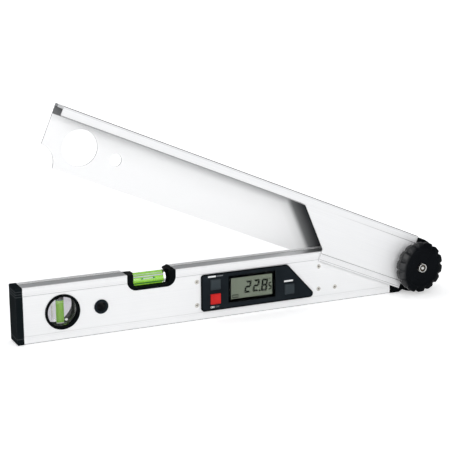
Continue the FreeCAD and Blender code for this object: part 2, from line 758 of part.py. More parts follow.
def level_vial():
    saddle = body_on("base", "level_vial_saddle")
    band = sketch_on(saddle, "front", y=HALF_DEPTH)
    outer = notch_outline("slip_gap", "0")
    left = f"-{LEVEL_VIAL} - notch_width / 2 + saddle_side"
    right = f"-{LEVEL_VIAL} + notch_width / 2 - saddle_side"
    floor = f"{NOTCH_FLOOR} + saddle_floor"
    outline(band, outer + [
        (right, "base_height"),
        (right, floor, "saddle_round"),
        (left, floor, "saddle_round"),
        (left, "base_height"),
    ])
    pad(band, "base_depth")

    # Clip noses hold the vial down at both ends
    half_gap = "(notch_width / 2 - saddle_side)"
    vial_top = f"({LEVEL_VIAL_HEIGHT} + level_vial_radius + slip_gap)"
    for side in ("-", "+"):
        nose = sketch_on(saddle, "front", y="vial_clip_width / 2")
        middle = f"-{LEVEL_VIAL} {side} ({half_gap} - vial_clip_overhang / 2 + overrun / 2)"
        rectangle(nose, middle, f"(base_height + {vial_top}) / 2", "vial_clip_overhang + overrun",
                  f"base_height - {vial_top}")
        pad(nose, "vial_clip_width")

    # The floor is hollowed to cradle the vial, and the top slopes down at the rear
    cradle = sketch_on(saddle, "front", x=f"-{LEVEL_VIAL}", z=LEVEL_VIAL_HEIGHT)
    outline(cradle, tube_outline(half_gap, "level_vial_radius + slip_gap"))
    turn(cradle, axis="H_Axis", cut=True)
    slope = sketch_on(saddle, "end", x=f"-{LEVEL_VIAL} + notch_width / 2 + overrun")
    outline(slope, [
        (f"{HALF_DEPTH} - saddle_rear_slope", "base_height"),
        (HALF_DEPTH, "base_height - saddle_rear_slope"),
        (f"{HALF_DEPTH} + overrun", "base_height"),
    ])
    pocket(slope)

    block = body_on("base", "level_vial_block")
    skin = sketch_on(block, "front", x=f"-{LEVEL_VIAL}", z=LEVEL_VIAL_HEIGHT)
    outline(skin, tube_outline(f"{half_gap} - slip_gap", "level_vial_radius"))
    turn(skin, axis="H_Axis")
    bore = sketch_on(block, "front", x=f"-{LEVEL_VIAL}", z=LEVEL_VIAL_HEIGHT)
    outline(bore, tube_outline(f"{half_gap} - slip_gap - level_tube_wall", "level_tube_radius"))
    turn(bore, axis="H_Axis", cut=True)

    fluid = body_on("base", "level_vial_fluid")
    fill = sketch_on(fluid, "front", x=f"-{LEVEL_VIAL}", z=LEVEL_VIAL_HEIGHT)
    outline(fill, tube_outline(f"{half_gap} - slip_gap - level_tube_wall - press_gap",
                               "level_tube_radius - press_gap"))
    turn(fill, axis="H_Axis")
    bubble = sketch_on(fluid, "top", x=f"-{LEVEL_VIAL}",
                       z=f"{LEVEL_VIAL_HEIGHT} + level_tube_radius - level_bubble_depth")
    rectangle(bubble, "0", "0", "level_bubble_length", "2 * level_tube_radius * bubble_width_share")
    pocket(bubble, reverse=True)


def display_panel():
    panel = body_on("base", "display_panel")
    plate = sketch_on(panel, "front", y=f"-{FIELD}")
    outline(plate, panel_outline("0", "panel_round", "panel_tip_round"))
    pad(plate, "panel_thickness")
    rim = sketch_on(panel, "front", y=f"-{PANEL_BACK}")
    outline(rim, panel_outline("panel_lip", "panel_body_round", "panel_body_round"))
    outline(rim, panel_outline("(panel_lip + panel_body_wall)", "panel_body_round", "panel_body_round"))
    pad(rim, "panel_body_depth")

    # Seat of the window, the view through the plate and the holes of the buttons
    seat = sketch_on(panel, "front", y=f"-({PANEL_FACE} + overrun)")
    rectangle(seat, "-window_reach", WINDOW, "window_width", "window_rise", "window_round")
    pocket(seat, "overrun + window_thickness")
    through = sketch_on(panel, "front", y=f"-({PANEL_FACE} + overrun)")
    rectangle(through, "-window_reach", WINDOW, "view_width", "view_rise")
    for reach, height in BUTTONS.values():
        rectangle(through, f"-{reach}", height, "button_width + 2 * slip_gap", "button_rise + 2 * slip_gap",
                  "button_round")
    pocket(through, "overrun + panel_thickness + overrun")

    window = body_on("base", "display_window")
    pane = sketch_on(window, "front", y=f"-({PANEL_FACE} - window_thickness)")
    rectangle(pane, "-window_reach", WINDOW, "window_width - 2 * slip_gap",
              "window_rise - 2 * slip_gap", "window_round")
    pad(pane, "window_thickness")

    lcd = body_on("base", "lcd_glass")
    glass = sketch_on(lcd, "front", y=f"-({FIELD} - lcd_thickness)")
    rectangle(glass, "-window_reach", WINDOW, "view_width + 2 * lcd_border",
              "view_rise + 2 * lcd_border")
    pad(glass, "lcd_thickness")

    # The zebra connector carries the glass on the board
    connector = body_on("base", "lcd_connector")
    strip = sketch_on(connector, "front", y=f"-{PANEL_BACK}")
    rectangle(strip, "-window_reach", f"{WINDOW} - view_rise / 2", "view_width", "2 * lcd_border")
    pad(strip, f"{FIELD} - lcd_thickness - {PANEL_BACK}")

    board = body_on("base", "circuit_board")
    sheet = sketch_on(board, "front", y=f"-({PANEL_BACK} - board_thickness)")
    outline(sheet, panel_outline("panel_lip", "panel_body_round", "panel_body_round"))
    pad(sheet, "board_thickness")

    # The chassis clamps the panel from inside and takes its four screws
    chassis = body_on("base", "display_chassis")
    frame = sketch_on(chassis, "front", y=f"-({CAVITY} - chassis_thickness)")
    edge = "(base_web + profile_inner_round)"
    outline(frame, [
        (f"-{CHASSIS_FAR}", edge),
        (f"-{PANEL_TIP} + chassis_near_margin", edge),
        (f"-{PANEL_TIP} + chassis_near_margin", f"base_height - {edge}"),
        (f"-{CHASSIS_FAR}", f"base_height - {edge}"),
    ])
    outline(frame, panel_outline("(panel_lip - slip_gap)", "panel_body_round", "panel_body_round"))
    for reach, height, _ in BASE_SCREWS[:4]:
        circle(frame, f"-{reach}", height, "screw_radius + press_gap")
    pad(frame, "chassis_thickness")


BUTTONS = {
    "hold_button": (LEFT_BUTTON, UPPER_BUTTON),
    "power_button": (LEFT_BUTTON, LOWER_BUTTON),
    "mode_button": (RIGHT_BUTTON, LOWER_BUTTON),
}


def buttons():
    switches = body_on("base", "button_switches")
    for label, (reach, height) in BUTTONS.items():
        button = body_on("base", label)
        cap = sketch_on(button, "front", y=f"-{FIELD}")
        rectangle(cap, f"-{reach}", height, "button_width", "button_rise", "button_round")
        pad(cap, "panel_thickness + button_proud")
        flange = sketch_on(button, "front", y=f"-{BUTTON_STOP}")
        rectangle(flange, f"-{reach}", height, "button_width + 2 * button_flange",
                  "button_rise + 2 * button_flange")
        pad(flange, "button_flange_thickness")

        case = sketch_on(switches, "front", y=f"-{PANEL_BACK}")
        rectangle(case, f"-{reach}", height, "switch_width", "switch_width")
        pad(case, "switch_thickness")
        stem = sketch_on(switches, "front", y=f"-{PANEL_BACK}")
        circle(stem, f"-{reach}", height, "switch_stem_radius")
        pad(stem, f"{BUTTON_STOP} - button_travel - slip_gap - {PANEL_BACK}")


def battery_bay():
    door = body_on("base", "battery_door")
    plate = sketch_on(door, "front", y=DOOR_FACE)
    rectangle(plate, f"-{BATTERY}", BATTERY_HEIGHT, "battery_door_length", DOOR_RISE,
              "battery_door_round")
    pad(plate, "battery_door_thickness")
    plug = sketch_on(door, "front", y=FIELD)
    rectangle(plug, f"-{BATTERY}", BATTERY_HEIGHT, "battery_door_opening - 2 * slip_gap",
              f"{DOOR_OPENING_RISE} - 2 * slip_gap", "battery_door_round")
    pad(plug, "base_wall")
    turned_on_y(door, f"-{DOOR_SCREW}", BATTERY_HEIGHT,
                screw_profile("", DOOR_FACE, "(base_wall + overrun)", "slip_gap"), cut=True)

    inner_length = "(battery_length + clip_thickness + 2 * slip_gap)"
    inner_middle = f"(-{BATTERY} + clip_thickness / 2)"
    tray = body_on("base", "battery_tray")
    trough = sketch_on(tray, "front", y=f"{BATTERY_DEPTH} / 2")
    left = f"{inner_middle} - {inner_length} / 2"
    right = f"{inner_middle} + {inner_length} / 2"
    top = f"{BATTERY_TOP} + slip_gap"
    outline(trough, [
        (f"{left} - tray_wall", "base_web + slip_gap"),
        (f"{right} + tray_wall", "base_web + slip_gap"),
        (f"{right} + tray_wall", f"{top} + tray_wall"),
        (f"{left} - tray_wall", f"{top} + tray_wall"),
    ])
    pad(trough, f"{BATTERY_DEPTH} / 2 + {CAVITY} - profile_inner_round")
    hollow = sketch_on(tray, "front", y=f"-({BATTERY_DEPTH} / 2)")
    outline(hollow, [
        (left, f"{BATTERY_BOTTOM} - slip_gap"),
        (right, f"{BATTERY_BOTTOM} - slip_gap"),
        (right, top),
        (left, top),
    ])
    pocket(hollow)

    battery = body_on("base", "battery")
    block = sketch_on(battery, "front", y=f"{BATTERY_DEPTH} / 2")
    rectangle(block, f"-{BATTERY}", BATTERY_HEIGHT, "battery_length", BATTERY_RISE, "battery_round")
    pad(block, BATTERY_DEPTH)

    clip = body_on("base", "battery_clip")
    contacts = sketch_on(clip, "front", y=f"{BATTERY_DEPTH} / 2")
    rectangle(contacts, f"-{BATTERY} + battery_length / 2 + slip_gap + clip_thickness / 2",
              BATTERY_HEIGHT, "clip_thickness", BATTERY_RISE)
    pad(contacts, BATTERY_DEPTH)


# The measuring arm

def arm_profile():
    body = body_on("arm", "arm_profile")
    section = sketch_on(body, "end", x=f"-{ARM_END}")
    lower = f"(-{ARM_BOTTOM} + arm_lower_band)"
    upper = f"({ARM_TOP} - arm_upper_band)"
    web = f"({ARM_TOP} - arm_web)"
    outline(section, [
        (f"-{ARM_OUTER}", f"-{ARM_BOTTOM}"),
        (f"-{ARM_INNER}", f"-{ARM_BOTTOM}"),
        (f"-{ARM_INNER}", web),
        (ARM_INNER, web),
        (ARM_INNER, f"-{ARM_BOTTOM}"),
        (ARM_OUTER, f"-{ARM_BOTTOM}"),
        (ARM_OUTER, lower),
        (ARM_FIELD, lower),
        (ARM_FIELD, upper),
        (ARM_OUTER, upper),
        (ARM_OUTER, ARM_TOP, "arm_edge_round"),
        (f"-{ARM_OUTER}", ARM_TOP, "arm_edge_round"),
        (f"-{ARM_OUTER}", upper),
        (f"-{ARM_FIELD}", upper),
        (f"-{ARM_FIELD}", lower),
        (f"-{ARM_OUTER}", lower),
    ])
    pad(section, f"{ARM_END} - arm_near_setback")

    # Round cheeks of the thinner wall carry the pivot under the black covers
    for level in (f"-{ARM_INNER}", ARM_FIELD):
        cheek = sketch_on(body, "front", y=level)
        circle(cheek, "0", "0", "cheek_radius")
        pad(cheek, "arm_wall - face_recess")

    # The front wall is cut away with a slant, so that the panel stays in view, down from a lip
    cut = sketch_on(body, "front", y=f"-({ARM_OUTER} + overrun)")
    lip = f"({ARM_TOP} - arm_lip)"
    outline(cut, [
        (f"-{ARM_END} - overrun", f"-{ARM_BOTTOM} - overrun"),
        (f"-{ARM_CUT_LOWER}", f"-{ARM_BOTTOM} - overrun"),
        (f"-{ARM_CUT_LOWER}", f"-{ARM_BOTTOM} + arm_cut_lower_height"),
        (f"-{ARM_CUT_UPPER}", lip, "arm_cut_round"),
        (f"-{ARM_END}", lip, "arm_lip_round"),
        (f"-{ARM_END}", f"{lip} + 2 * arm_lip_round"),
        (f"-{ARM_END} - overrun", f"{lip} + 2 * arm_lip_round"),
    ])
    pocket(cut, "overrun + arm_wall + overrun")

    # Round window for the plumb vial, hanging hole and round corner notch in the rear wall
    holes = sketch_on(body, "front", y=f"{ARM_INNER} - overrun")
    circle(holes, f"-{PLUMB_VIAL}", "plumb_vial_height - pivot_height", "arm_vial_window_radius")
    circle(holes, f"-{HANG_HOLE}", "hang_hole_height - pivot_height", "arm_hang_hole_radius")
    pocket(holes)
    notch = sketch_on(body, "front", y=f"{ARM_INNER} - overrun")
    circle(notch, f"-{ARM_END}", f"-{ARM_BOTTOM}", "arm_corner_notch_radius")
    pocket(notch)

    # The web stops short of the walls, so that it clears the block's corner when fully open
    web_end = sketch_on(body, "front", y=f"-{ARM_INNER}")
    outline(web_end, [
        ("-arm_near_setback - arm_web_setback", f"{web} - overrun"),
        ("-arm_near_setback + overrun", f"{web} - overrun"),
        ("-arm_near_setback + overrun", f"{ARM_TOP} + overrun"),
        ("-arm_near_setback - arm_web_setback", f"{ARM_TOP} + overrun"),
    ])
    pocket(web_end, f"2 * {ARM_INNER}")

    # Bores of the stud and of the cover screws
    bores = sketch_on(body, "front", y=f"-({ARM_OUTER} + overrun)")
    circle(bores, "0", "0", "stud_radius + slip_gap")
    for across, along in cover_screw_places():
        circle(bores, across, along, "cover_screw_radius + press_gap")
    pocket(bores)


def cover_screw_places():
    return [(f"cover_screw_circle * cos({angle})", f"cover_screw_circle * sin({angle})")
            for angle in (-60, 0, 60)]


def cover_screw_profile(side, grown):
    """Half outline of a cover screw along Y, or of its hole."""
    face = COVER_OUTER
    end = f"({ARM_INNER} + press_gap)"
    return [
        ("0", f"{side}{face}"),
        (f"cover_screw_head_radius + {grown}", f"{side}{face}"),
        (f"cover_screw_radius + {grown}", f"{side}({face} - cover_screw_head_depth)"),
        (f"cover_screw_radius + {grown}", f"{side}{end}"),
        ("0", f"{side}{end}"),
    ]


def hinge_covers():
    for label, side in (("hinge_cover_front", "-"), ("hinge_cover_rear", "")):
        cover = body_on("arm", label)
        level = f"-{ARM_INNER}" if side else COVER_OUTER
        shell = sketch_on(cover, "front", y=level)
        outline(shell, [
            ("-arm_near_setback", f"-{ARM_BOTTOM}"),
            ("0", f"-{ARM_BOTTOM}"),
            ("0", COVER_TOP),
            ("-arm_near_setback", COVER_TOP),
        ])
        pad(shell, "arm_wall + cover_skin")
        round_end = sketch_on(cover, "front", y=level)
        circle(round_end, "0", f"({COVER_TOP} - {ARM_BOTTOM}) / 2", f"({COVER_TOP} + {ARM_BOTTOM}) / 2")
        pad(round_end, "arm_wall + cover_skin")
        edge = sketch_on(cover, "front", y=f"-({COVER_OUTER} + overrun)")
        rectangle(edge, f"-arm_near_setback - {LEG_END} / 2", "0", LEG_END, LEG_END)
        pocket(edge)
        seat = sketch_on(cover, "front", y=f"-{ARM_FIELD}" if side else ARM_FIELD)
        circle(seat, "0", "0", "cheek_radius + slip_gap")
        pocket(seat, reverse=side == "")
        bore = sketch_on(cover, "front", y=f"-({COVER_OUTER} + overrun)")
        circle(bore, "0", "0", "stud_radius + slip_gap" if side else "stud_head_radius + slip_gap")
        pocket(bore)
        for across, along in cover_screw_places():
            turned_on_y(cover, across, along, cover_screw_profile(side, "press_gap"), cut=True)

    fasteners = body_on("arm", "hinge_cover_screws")
    for side in ("-", ""):
        for across, along in cover_screw_places():
            turned_on_y(fasteners, across, along, cover_screw_profile(side, "0"))


def pivot_parts():
    stud = body_on("arm", "pivot_stud")
    shank_front = f"-({COVER_OUTER} + clamp_washer_thickness / 2)"
    turned_on_y(stud, "0", "0", [
        ("0", f"{ARM_FIELD} + stud_head_thickness"),
        ("stud_head_radius", f"{ARM_FIELD} + stud_head_thickness"),
        ("stud_head_radius", ARM_FIELD),
        ("stud_radius", ARM_FIELD),
        ("stud_radius", shank_front),
        ("stud_thread_radius", shank_front),
        ("stud_thread_radius", "-(stud_reach - stud_end_chamfer)"),
        ("stud_thread_radius - stud_end_chamfer", "-stud_reach"),
        ("stud_socket_radius", "-stud_reach"),
        ("stud_socket_radius", "-(stud_reach - stud_socket_depth)"),
        ("0", "-(stud_reach - stud_socket_depth)"),
    ])

    disc = body_on("arm", "angle_sensor_disc")
    turned_on_y(disc, "0", "0", [
        ("sensor_bore_radius", ARM_INNER),
        ("sensor_radius", ARM_INNER),
        ("sensor_radius", f"{ARM_INNER} - sensor_disc_thickness"),
        ("sensor_bore_radius", f"{ARM_INNER} - sensor_disc_thickness"),
    ])

    washer = body_on("arm", "friction_washer")
    turned_on_y(washer, "0", "0", [
        ("stud_radius + running_gap", f"-{ARM_INNER}"),
        ("friction_washer_radius", f"-{ARM_INNER}"),
        ("friction_washer_radius", f"-{HALF_DEPTH}"),
        ("stud_radius + running_gap", f"-{HALF_DEPTH}"),
    ])


def clamp_parts():
    washer = body_on("arm", "clamp_washer")
    turned_on_y(washer, "0", "0", [
        ("stud_radius + slip_gap", f"-{COVER_OUTER}"),
        ("clamp_washer_radius", f"-{COVER_OUTER}"),
        ("clamp_washer_radius", f"-{HUB_SEAT}"),
        ("stud_radius + slip_gap", f"-{HUB_SEAT}"),
    ])

    insert_back = f"-({HUB_SEAT} + insert_inset)"
    insert_front = "-(knob_face - knob_dish_depth - insert_inset)"
    knob = body_on("arm", "clamp_knob")
    turned_on_y(knob, "0", "0", [
        ("stud_radius + slip_gap", f"-{HUB_SEAT}"),
        ("knob_hub_radius", f"-{HUB_SEAT}"),
        ("knob_hub_radius", "-knob_back"),
        ("knob_back_radius", "-knob_back", "knob_back_round"),
        ("knob_radius", "-knob_face", "knob_front_round"),
        ("knob_dish_radius", "-knob_face"),
        ("knob_dish_floor_radius", "-(knob_face - knob_dish_depth)"),
        ("stud_radius + slip_gap", "-(knob_face - knob_dish_depth)"),
    ])
    turned_on_y(knob, "0", "0", [
        ("0", insert_back),
        ("insert_radius + press_gap", insert_back),
        ("insert_radius + press_gap", insert_front),
        ("0", insert_front),
    ], cut=True)

    # Finger flutes round the grip
    flute = sketch_on(knob, "front", y="-(knob_face + overrun)")
    circle(flute, "knob_radius + knob_flute_radius - knob_flute_depth", "0", "knob_flute_radius")
    first = pocket(flute)
    flutes = knob.newObject("PartDesign::PolarPattern", "knob_flutes_pattern")
    flutes.Originals = [first]
    flutes.Axis = (next(f for f in knob.Origin.OriginFeatures if f.Role == "Y_Axis"), [""])
    flutes.Angle = 360
    flutes.setExpression("Occurrences", bound("knob_flutes"))
    knob.Tip = flutes

    insert = body_on("arm", "knob_insert")
    turned_on_y(insert, "0", "0", [
        ("stud_thread_radius + running_gap", insert_back),
        ("insert_radius", insert_back),
        ("insert_radius", insert_front),
        ("stud_thread_radius + running_gap", insert_front),
    ])


base_profile()
end_cap()
hinge_block()
screws("display_screws", BASE_SCREWS[:4])
screws("hinge_block_screws", BASE_SCREWS[4:])
screws("battery_door_screw", [(DOOR_SCREW, BATTERY_HEIGHT, "")], face=DOOR_FACE)
pivot_bush()
sensor_board()
plumb_vial()
hang_sleeve()
level_vial()
display_panel()
buttons()
battery_bay()
arm_profile()
hinge_covers()
pivot_parts()
clamp_parts()
document.recompute()

failed = [item.Name for item in document.Objects if "Invalid" in item.State or "Error" in item.State]
if failed:
    raise RuntimeError(f"failed: {failed}")
pieces = [item for item in document.Objects if item.isDerivedFrom("PartDesign::Body")]
for piece in pieces:
    if piece.Shape.isNull() or not piece.Shape.isValid():
        raise RuntimeError(f"{piece.Label} has no valid shape")
for piece in pieces:
    piece.Shape.exportStep(f"parts/{piece.Label}.step")
    print(piece.Label, len(piece.Shape.Solids), round(piece.Shape.Volume, 1))
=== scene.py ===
import math

import bmesh
import bpy
from mathutils import Matrix, Vector


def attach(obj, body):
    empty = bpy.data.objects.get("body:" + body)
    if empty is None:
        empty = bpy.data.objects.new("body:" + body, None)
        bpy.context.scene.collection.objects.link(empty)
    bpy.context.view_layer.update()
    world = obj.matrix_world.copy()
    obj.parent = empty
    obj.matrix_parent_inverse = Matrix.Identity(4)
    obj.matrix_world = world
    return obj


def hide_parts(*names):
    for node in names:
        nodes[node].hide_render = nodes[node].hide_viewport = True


# The looks of an electronic angle finder. Sizes are in millimetres and meshes in metres. A place along a leg
# is its distance from the pivot, negative towards the leg's far end. Pieces of the base have z = 0 at the sole,
# those of the arm at the pivot.

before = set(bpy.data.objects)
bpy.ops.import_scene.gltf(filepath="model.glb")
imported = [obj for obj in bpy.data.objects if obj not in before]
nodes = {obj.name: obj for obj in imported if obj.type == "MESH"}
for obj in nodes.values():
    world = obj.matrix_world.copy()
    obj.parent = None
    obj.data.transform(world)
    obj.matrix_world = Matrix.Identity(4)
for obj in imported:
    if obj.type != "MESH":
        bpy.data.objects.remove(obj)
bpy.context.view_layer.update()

MM = 0.001
PIVOT_X = 232.8
PIVOT_Z = 30.6
OPENING = math.radians(22.85)

# The base profile ends this far from the pivot with a painted highlight along its end, and the arm's rear wall
# has this middle
BASE_NEAR_END = 27.8
END_HIGHLIGHT = 0.8
REAR_WALL_MIDDLE = 13.2

# The arm's inside carries painted shade and a painted dark reflection behind its slanted cut, given by a point
# and the direction across it, and painted shade up behind its lip
CUT_POINT = (PIVOT_X - 116.3, PIVOT_Z - 17.5)
CUT_NORMAL = (0.701, 0.714)
LIP_SHADE_FROM = PIVOT_Z + 12.0
LIP_SHADE_FULL = PIVOT_Z + 19.7

# The knob's grip has a painted sheen, glossier on the side away from this place by the pivot, between two
# distances
SHEEN_AWAY_FROM = (8.5, 0.3)
SHEEN_START = 28.5
SHEEN_FULL = 32.0

LEGS = {
    "base": Matrix.Translation((PIVOT_X * MM, 0, 0)),
    "arm": Matrix.Translation((PIVOT_X * MM, 0, PIVOT_Z * MM)) @ Matrix.Rotation(OPENING, 4, "Y"),
}


# Meshes

def piece(name, verts, faces, leg, look, body, replaced=(), slot=None, smooth=True, sharp=40):
    """A mesh from points in millimetres in a leg's frame, riding on a body."""
    mesh = bpy.data.meshes.new(name)
    mesh.from_pydata([Vector(v) * MM for v in verts], [], faces)
    mesh.transform(LEGS[leg])
    work = bmesh.new()
    work.from_mesh(mesh)
    bmesh.ops.remove_doubles(work, verts=work.verts, dist=1e-7)
    bmesh.ops.recalc_face_normals(work, faces=work.faces)
    work.to_mesh(mesh)
    work.free()
    mesh.materials.append(look)
    if smooth:
        mesh.polygons.foreach_set("use_smooth", [True] * len(mesh.polygons))
        mesh.set_sharp_from_angle(angle=math.radians(sharp))
    obj = bpy.data.objects.new(name, mesh)
    bpy.context.scene.collection.objects.link(obj)
    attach(obj, body)
    if replaced:
        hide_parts(*replaced)
    return obj


def bend(across, along, radius, start, end, steps):
    """Points of an arc about (across, along) between two angles in degrees."""
    points = []
    for step in range(steps + 1):
        angle = math.radians(start + (end - start) * step / steps)
        points.append((across + radius * math.cos(angle), along + radius * math.sin(angle)))
    return points


def turned(profile, centre, columns, axis="Y", shape=None, closed=True):
    """A profile of (radius, place) turned about an axis through a centre. A shape changes both by angle."""
    verts, faces = [], []
    rows = len(profile)
    for radius, place in profile:
        for column in range(columns):
            angle = math.tau * column / columns
            r, p = shape(radius, place, angle) if shape else (radius, place)
            a, b = r * math.cos(angle), r * math.sin(angle)
            local = {"X": (p, a, b), "Y": (a, p, b), "Z": (a, b, p)}[axis]
            verts.append(tuple(c + v for c, v in zip(centre, local)))
    for row in range(rows if closed else rows - 1):
        after = (row + 1) % rows
        for column in range(columns):
            beside = (column + 1) % columns
            faces.append((row * columns + column, row * columns + beside,
                          after * columns + beside, after * columns + column))
    return verts, faces


def solid_of_loops(loops):
    """A closed solid through loops of equally many points, capped at both ends."""
    count = len(loops[0])
    verts = [v for loop in loops for v in loop]
    faces = []
    for row in range(len(loops) - 1):
        for column in range(count):
            beside = (column + 1) % count
            faces.append((row * count + column, row * count + beside,
                          (row + 1) * count + beside, (row + 1) * count + column))
    faces.append(tuple(range(count - 1, -1, -1)))
    last = (len(loops) - 1) * count
    faces.append(tuple(range(last, last + count)))
    return verts, faces


def round_corners(corners, steps=6):
    """A closed outline of (x, z) points from corners of (x, z, radius)."""
    points = []
    for index, (x, z, radius) in enumerate(corners):
        here = Vector((x, z))
        back = (Vector(corners[index - 1][:2]) - here).normalized()
        ahead = (Vector(corners[(index + 1) % len(corners)][:2]) - here).normalized()
        half = back.angle(ahead) / 2
        centre = here + (back + ahead).normalized() * (radius / math.sin(half))
        enter = here + back * (radius / math.tan(half))
        leave = here + ahead * (radius / math.tan(half))
        first = (enter - centre).angle_signed(leave - centre)
        for step in range(steps + 1):
            spoke = (enter - centre).copy()
            spoke.rotate(Matrix.Rotation(-first * step / steps, 2))
            points.append(tuple(centre + spoke))
    return points


def box_outline(across, along, width, rise, radius, steps=6):
    w, h = width / 2, rise / 2
    return round_corners([(across - w, along - h, radius), (across + w, along - h, radius),
                          (across + w, along + h, radius), (across - w, along + h, radius)], steps)


def joined(*parts):
    verts, faces = [], []
    for more_verts, more_faces in parts:
        faces += [tuple(i + len(verts) for i in face) for face in more_faces]
        verts += more_verts
    return verts, faces


def prism(outline, front, back):
    """A flat solid between two depths from an outline of (x, z) points."""
    return solid_of_loops([[(x, front, z) for x, z in outline], [(x, back, z) for x, z in outline]])


# Materials

class Nodes:
    """A node tree, with the nodes that materials and the world share."""

    def __init__(self, owner):
        owner.use_nodes = True
        self.tree = owner.node_tree
        self.tree.nodes.clear()

    def node(self, kind, **settings):
        made = self.tree.nodes.new("ShaderNode" + kind)
        for key, value in settings.items():
            setattr(made, key, value)
        return made

    def link(self, start, end):
        self.tree.links.new(start, end)

    def feed(self, value, socket):
        """Sets a number or a colour on a socket, or links an output to it."""
        if isinstance(value, tuple):
            socket.default_value = (*value, 1)
        elif isinstance(value, (int, float)):
            socket.default_value = value
        else:
            self.link(value, socket)

    def math(self, operation, a, b=0.5, clamp=False):
        made = self.node("Math", operation=operation, use_clamp=clamp)
        self.feed(a, made.inputs[0])
        self.feed(b, made.inputs[1])
        return made.outputs[0]

    def ramp(self, value, low, high, start=0.3, end=0.7, smooth=False):
        """Colours or numbers between two ends of a value."""
        made = self.node("MapRange", interpolation_type="SMOOTHSTEP" if smooth else "LINEAR")
        made.inputs["From Min"].default_value = start
        made.inputs["From Max"].default_value = end
        self.link(value, made.inputs["Value"])
        if isinstance(low, tuple):
            return self.over(made.outputs["Result"], low, high)
        made.inputs["To Min"].default_value = low
        made.inputs["To Max"].default_value = high
        return made.outputs["Result"]

    def over(self, mask, under, colour):
        """A colour over another where the mask is 1."""
        mixed = self.node("Mix", data_type="RGBA")
        self.link(mask, mixed.inputs[0])
        self.feed(under, mixed.inputs[6])
        self.feed(colour, mixed.inputs[7])
        return mixed.outputs[2]

    def near(self, value, place, reach):
        """1 where the value is within reach of a place, in metres."""
        made = self.node("Math", operation="COMPARE")
        self.link(value, made.inputs[0])
        made.inputs[1].default_value = place
        made.inputs[2].default_value = reach
        return made.outputs[0]


class Look(Nodes):
    """A material. Its coordinates run along the leg, in metres."""

    def __init__(self, name, leg="base", **sockets):
        self.material = bpy.data.materials.new(name)
        super().__init__(self.material)
        output = self.node("OutputMaterial")
        self.shader = self.node("BsdfPrincipled")
        self.link(self.shader.outputs["BSDF"], output.inputs["Surface"])
        for socket, value in sockets.items():
            self.shader.inputs[socket.replace("_", " ")].default_value = value
        self.coords = self.node("TexCoord").outputs["Object"]
        if leg == "arm":
            turn = self.node("VectorRotate", rotation_type="Y_AXIS")
            turn.inputs["Center"].default_value = (PIVOT_X * MM, 0, PIVOT_Z * MM)
            turn.inputs["Angle"].default_value = -OPENING
            self.link(self.coords, turn.inputs["Vector"])
            self.coords = turn.outputs["Vector"]
        self.parts = self.node("SeparateXYZ")
        self.link(self.coords, self.parts.inputs[0])

    def put(self, start, socket):
        self.link(start, self.shader.inputs[socket])

    def noise(self, stretch, detail=3, roughness=0.55):
        """Noise with so many waves a metre along each axis."""
        scaled = self.node("VectorMath", operation="MULTIPLY")
        scaled.inputs[1].default_value = stretch
        self.link(self.coords, scaled.inputs[0])
        made = self.node("TexNoise")
        made.inputs["Scale"].default_value = 1
        made.inputs["Detail"].default_value = detail
        made.inputs["Roughness"].default_value = roughness
        self.link(scaled.outputs[0], made.inputs["Vector"])
        return made.outputs["Fac"]

    def edges(self, radius):
        """How far each point is on a rounded edge, and the rounded normal."""
        bevel = self.node("Bevel", samples=4)
        bevel.inputs["Radius"].default_value = radius * MM
        plain = self.node("NewGeometry")
        dot = self.node("VectorMath", operation="DOT_PRODUCT")
        self.link(bevel.outputs["Normal"], dot.inputs[0])
        self.link(plain.outputs["Normal"], dot.inputs[1])
        return self.ramp(dot.outputs["Value"], 1.0, 0.0, 0.8, 0.995), bevel.outputs["Normal"]

    def bump(self, height, distance, normal=None, strength=1.0):
        made = self.node("Bump")
        made.inputs["Strength"].default_value = strength
        made.inputs["Distance"].default_value = distance * MM
        self.link(height, made.inputs["Height"])
        if normal is not None:
            self.link(normal, made.inputs["Normal"])
        return made.outputs["Normal"]


def front_lines(look, lines, outside):
    """How strongly each point lies in the lines along the front, groove lines and painted edge shade, some of
    which fade out along the leg.
    """
    x, y, z = look.parts.outputs
    grooves_and_edge_shade = None
    for place, reach, depth, near, far in lines:
        mask = look.math("MULTIPLY", look.near(z, place * MM, reach * MM), depth)
        if far:
            fade = look.ramp(x, 0.0, 1.0, (PIVOT_X - far) * MM, (PIVOT_X - near) * MM)
            mask = look.math("MULTIPLY", mask, fade)
        grooves_and_edge_shade = mask if grooves_and_edge_shade is None else look.math("MAXIMUM", grooves_and_edge_shade, mask)
    return look.math("MULTIPLY", grooves_and_edge_shade, outside)


def top_shade_and_end_highlight(look, colour, streaks, upward, outside):
    """Painted shade on the base's top, greyer towards the left, and a painted highlight at the right end of its
    front.
    """
    x, y, z = look.parts.outputs
    grey = look.ramp(streaks, (0.27, 0.275, 0.28), (0.42, 0.425, 0.43))
    grey = look.over(look.ramp(y, 0.0, 0.6, 5.2 * MM, 7.5 * MM), grey, (0.42, 0.42, 0.42))
    share = look.math("MULTIPLY", upward, look.ramp(x, 0.82, 0.5, -70 * MM, 115 * MM))
    colour = look.over(share, colour, grey)
    # Painted highlight along the right end of the base's front
    end = look.near(x, (PIVOT_X - BASE_NEAR_END - END_HIGHLIGHT) * MM, END_HIGHLIGHT * MM)
    return look.over(look.math("MULTIPLY", end, outside), colour, (1.0, 1.0, 1.0))


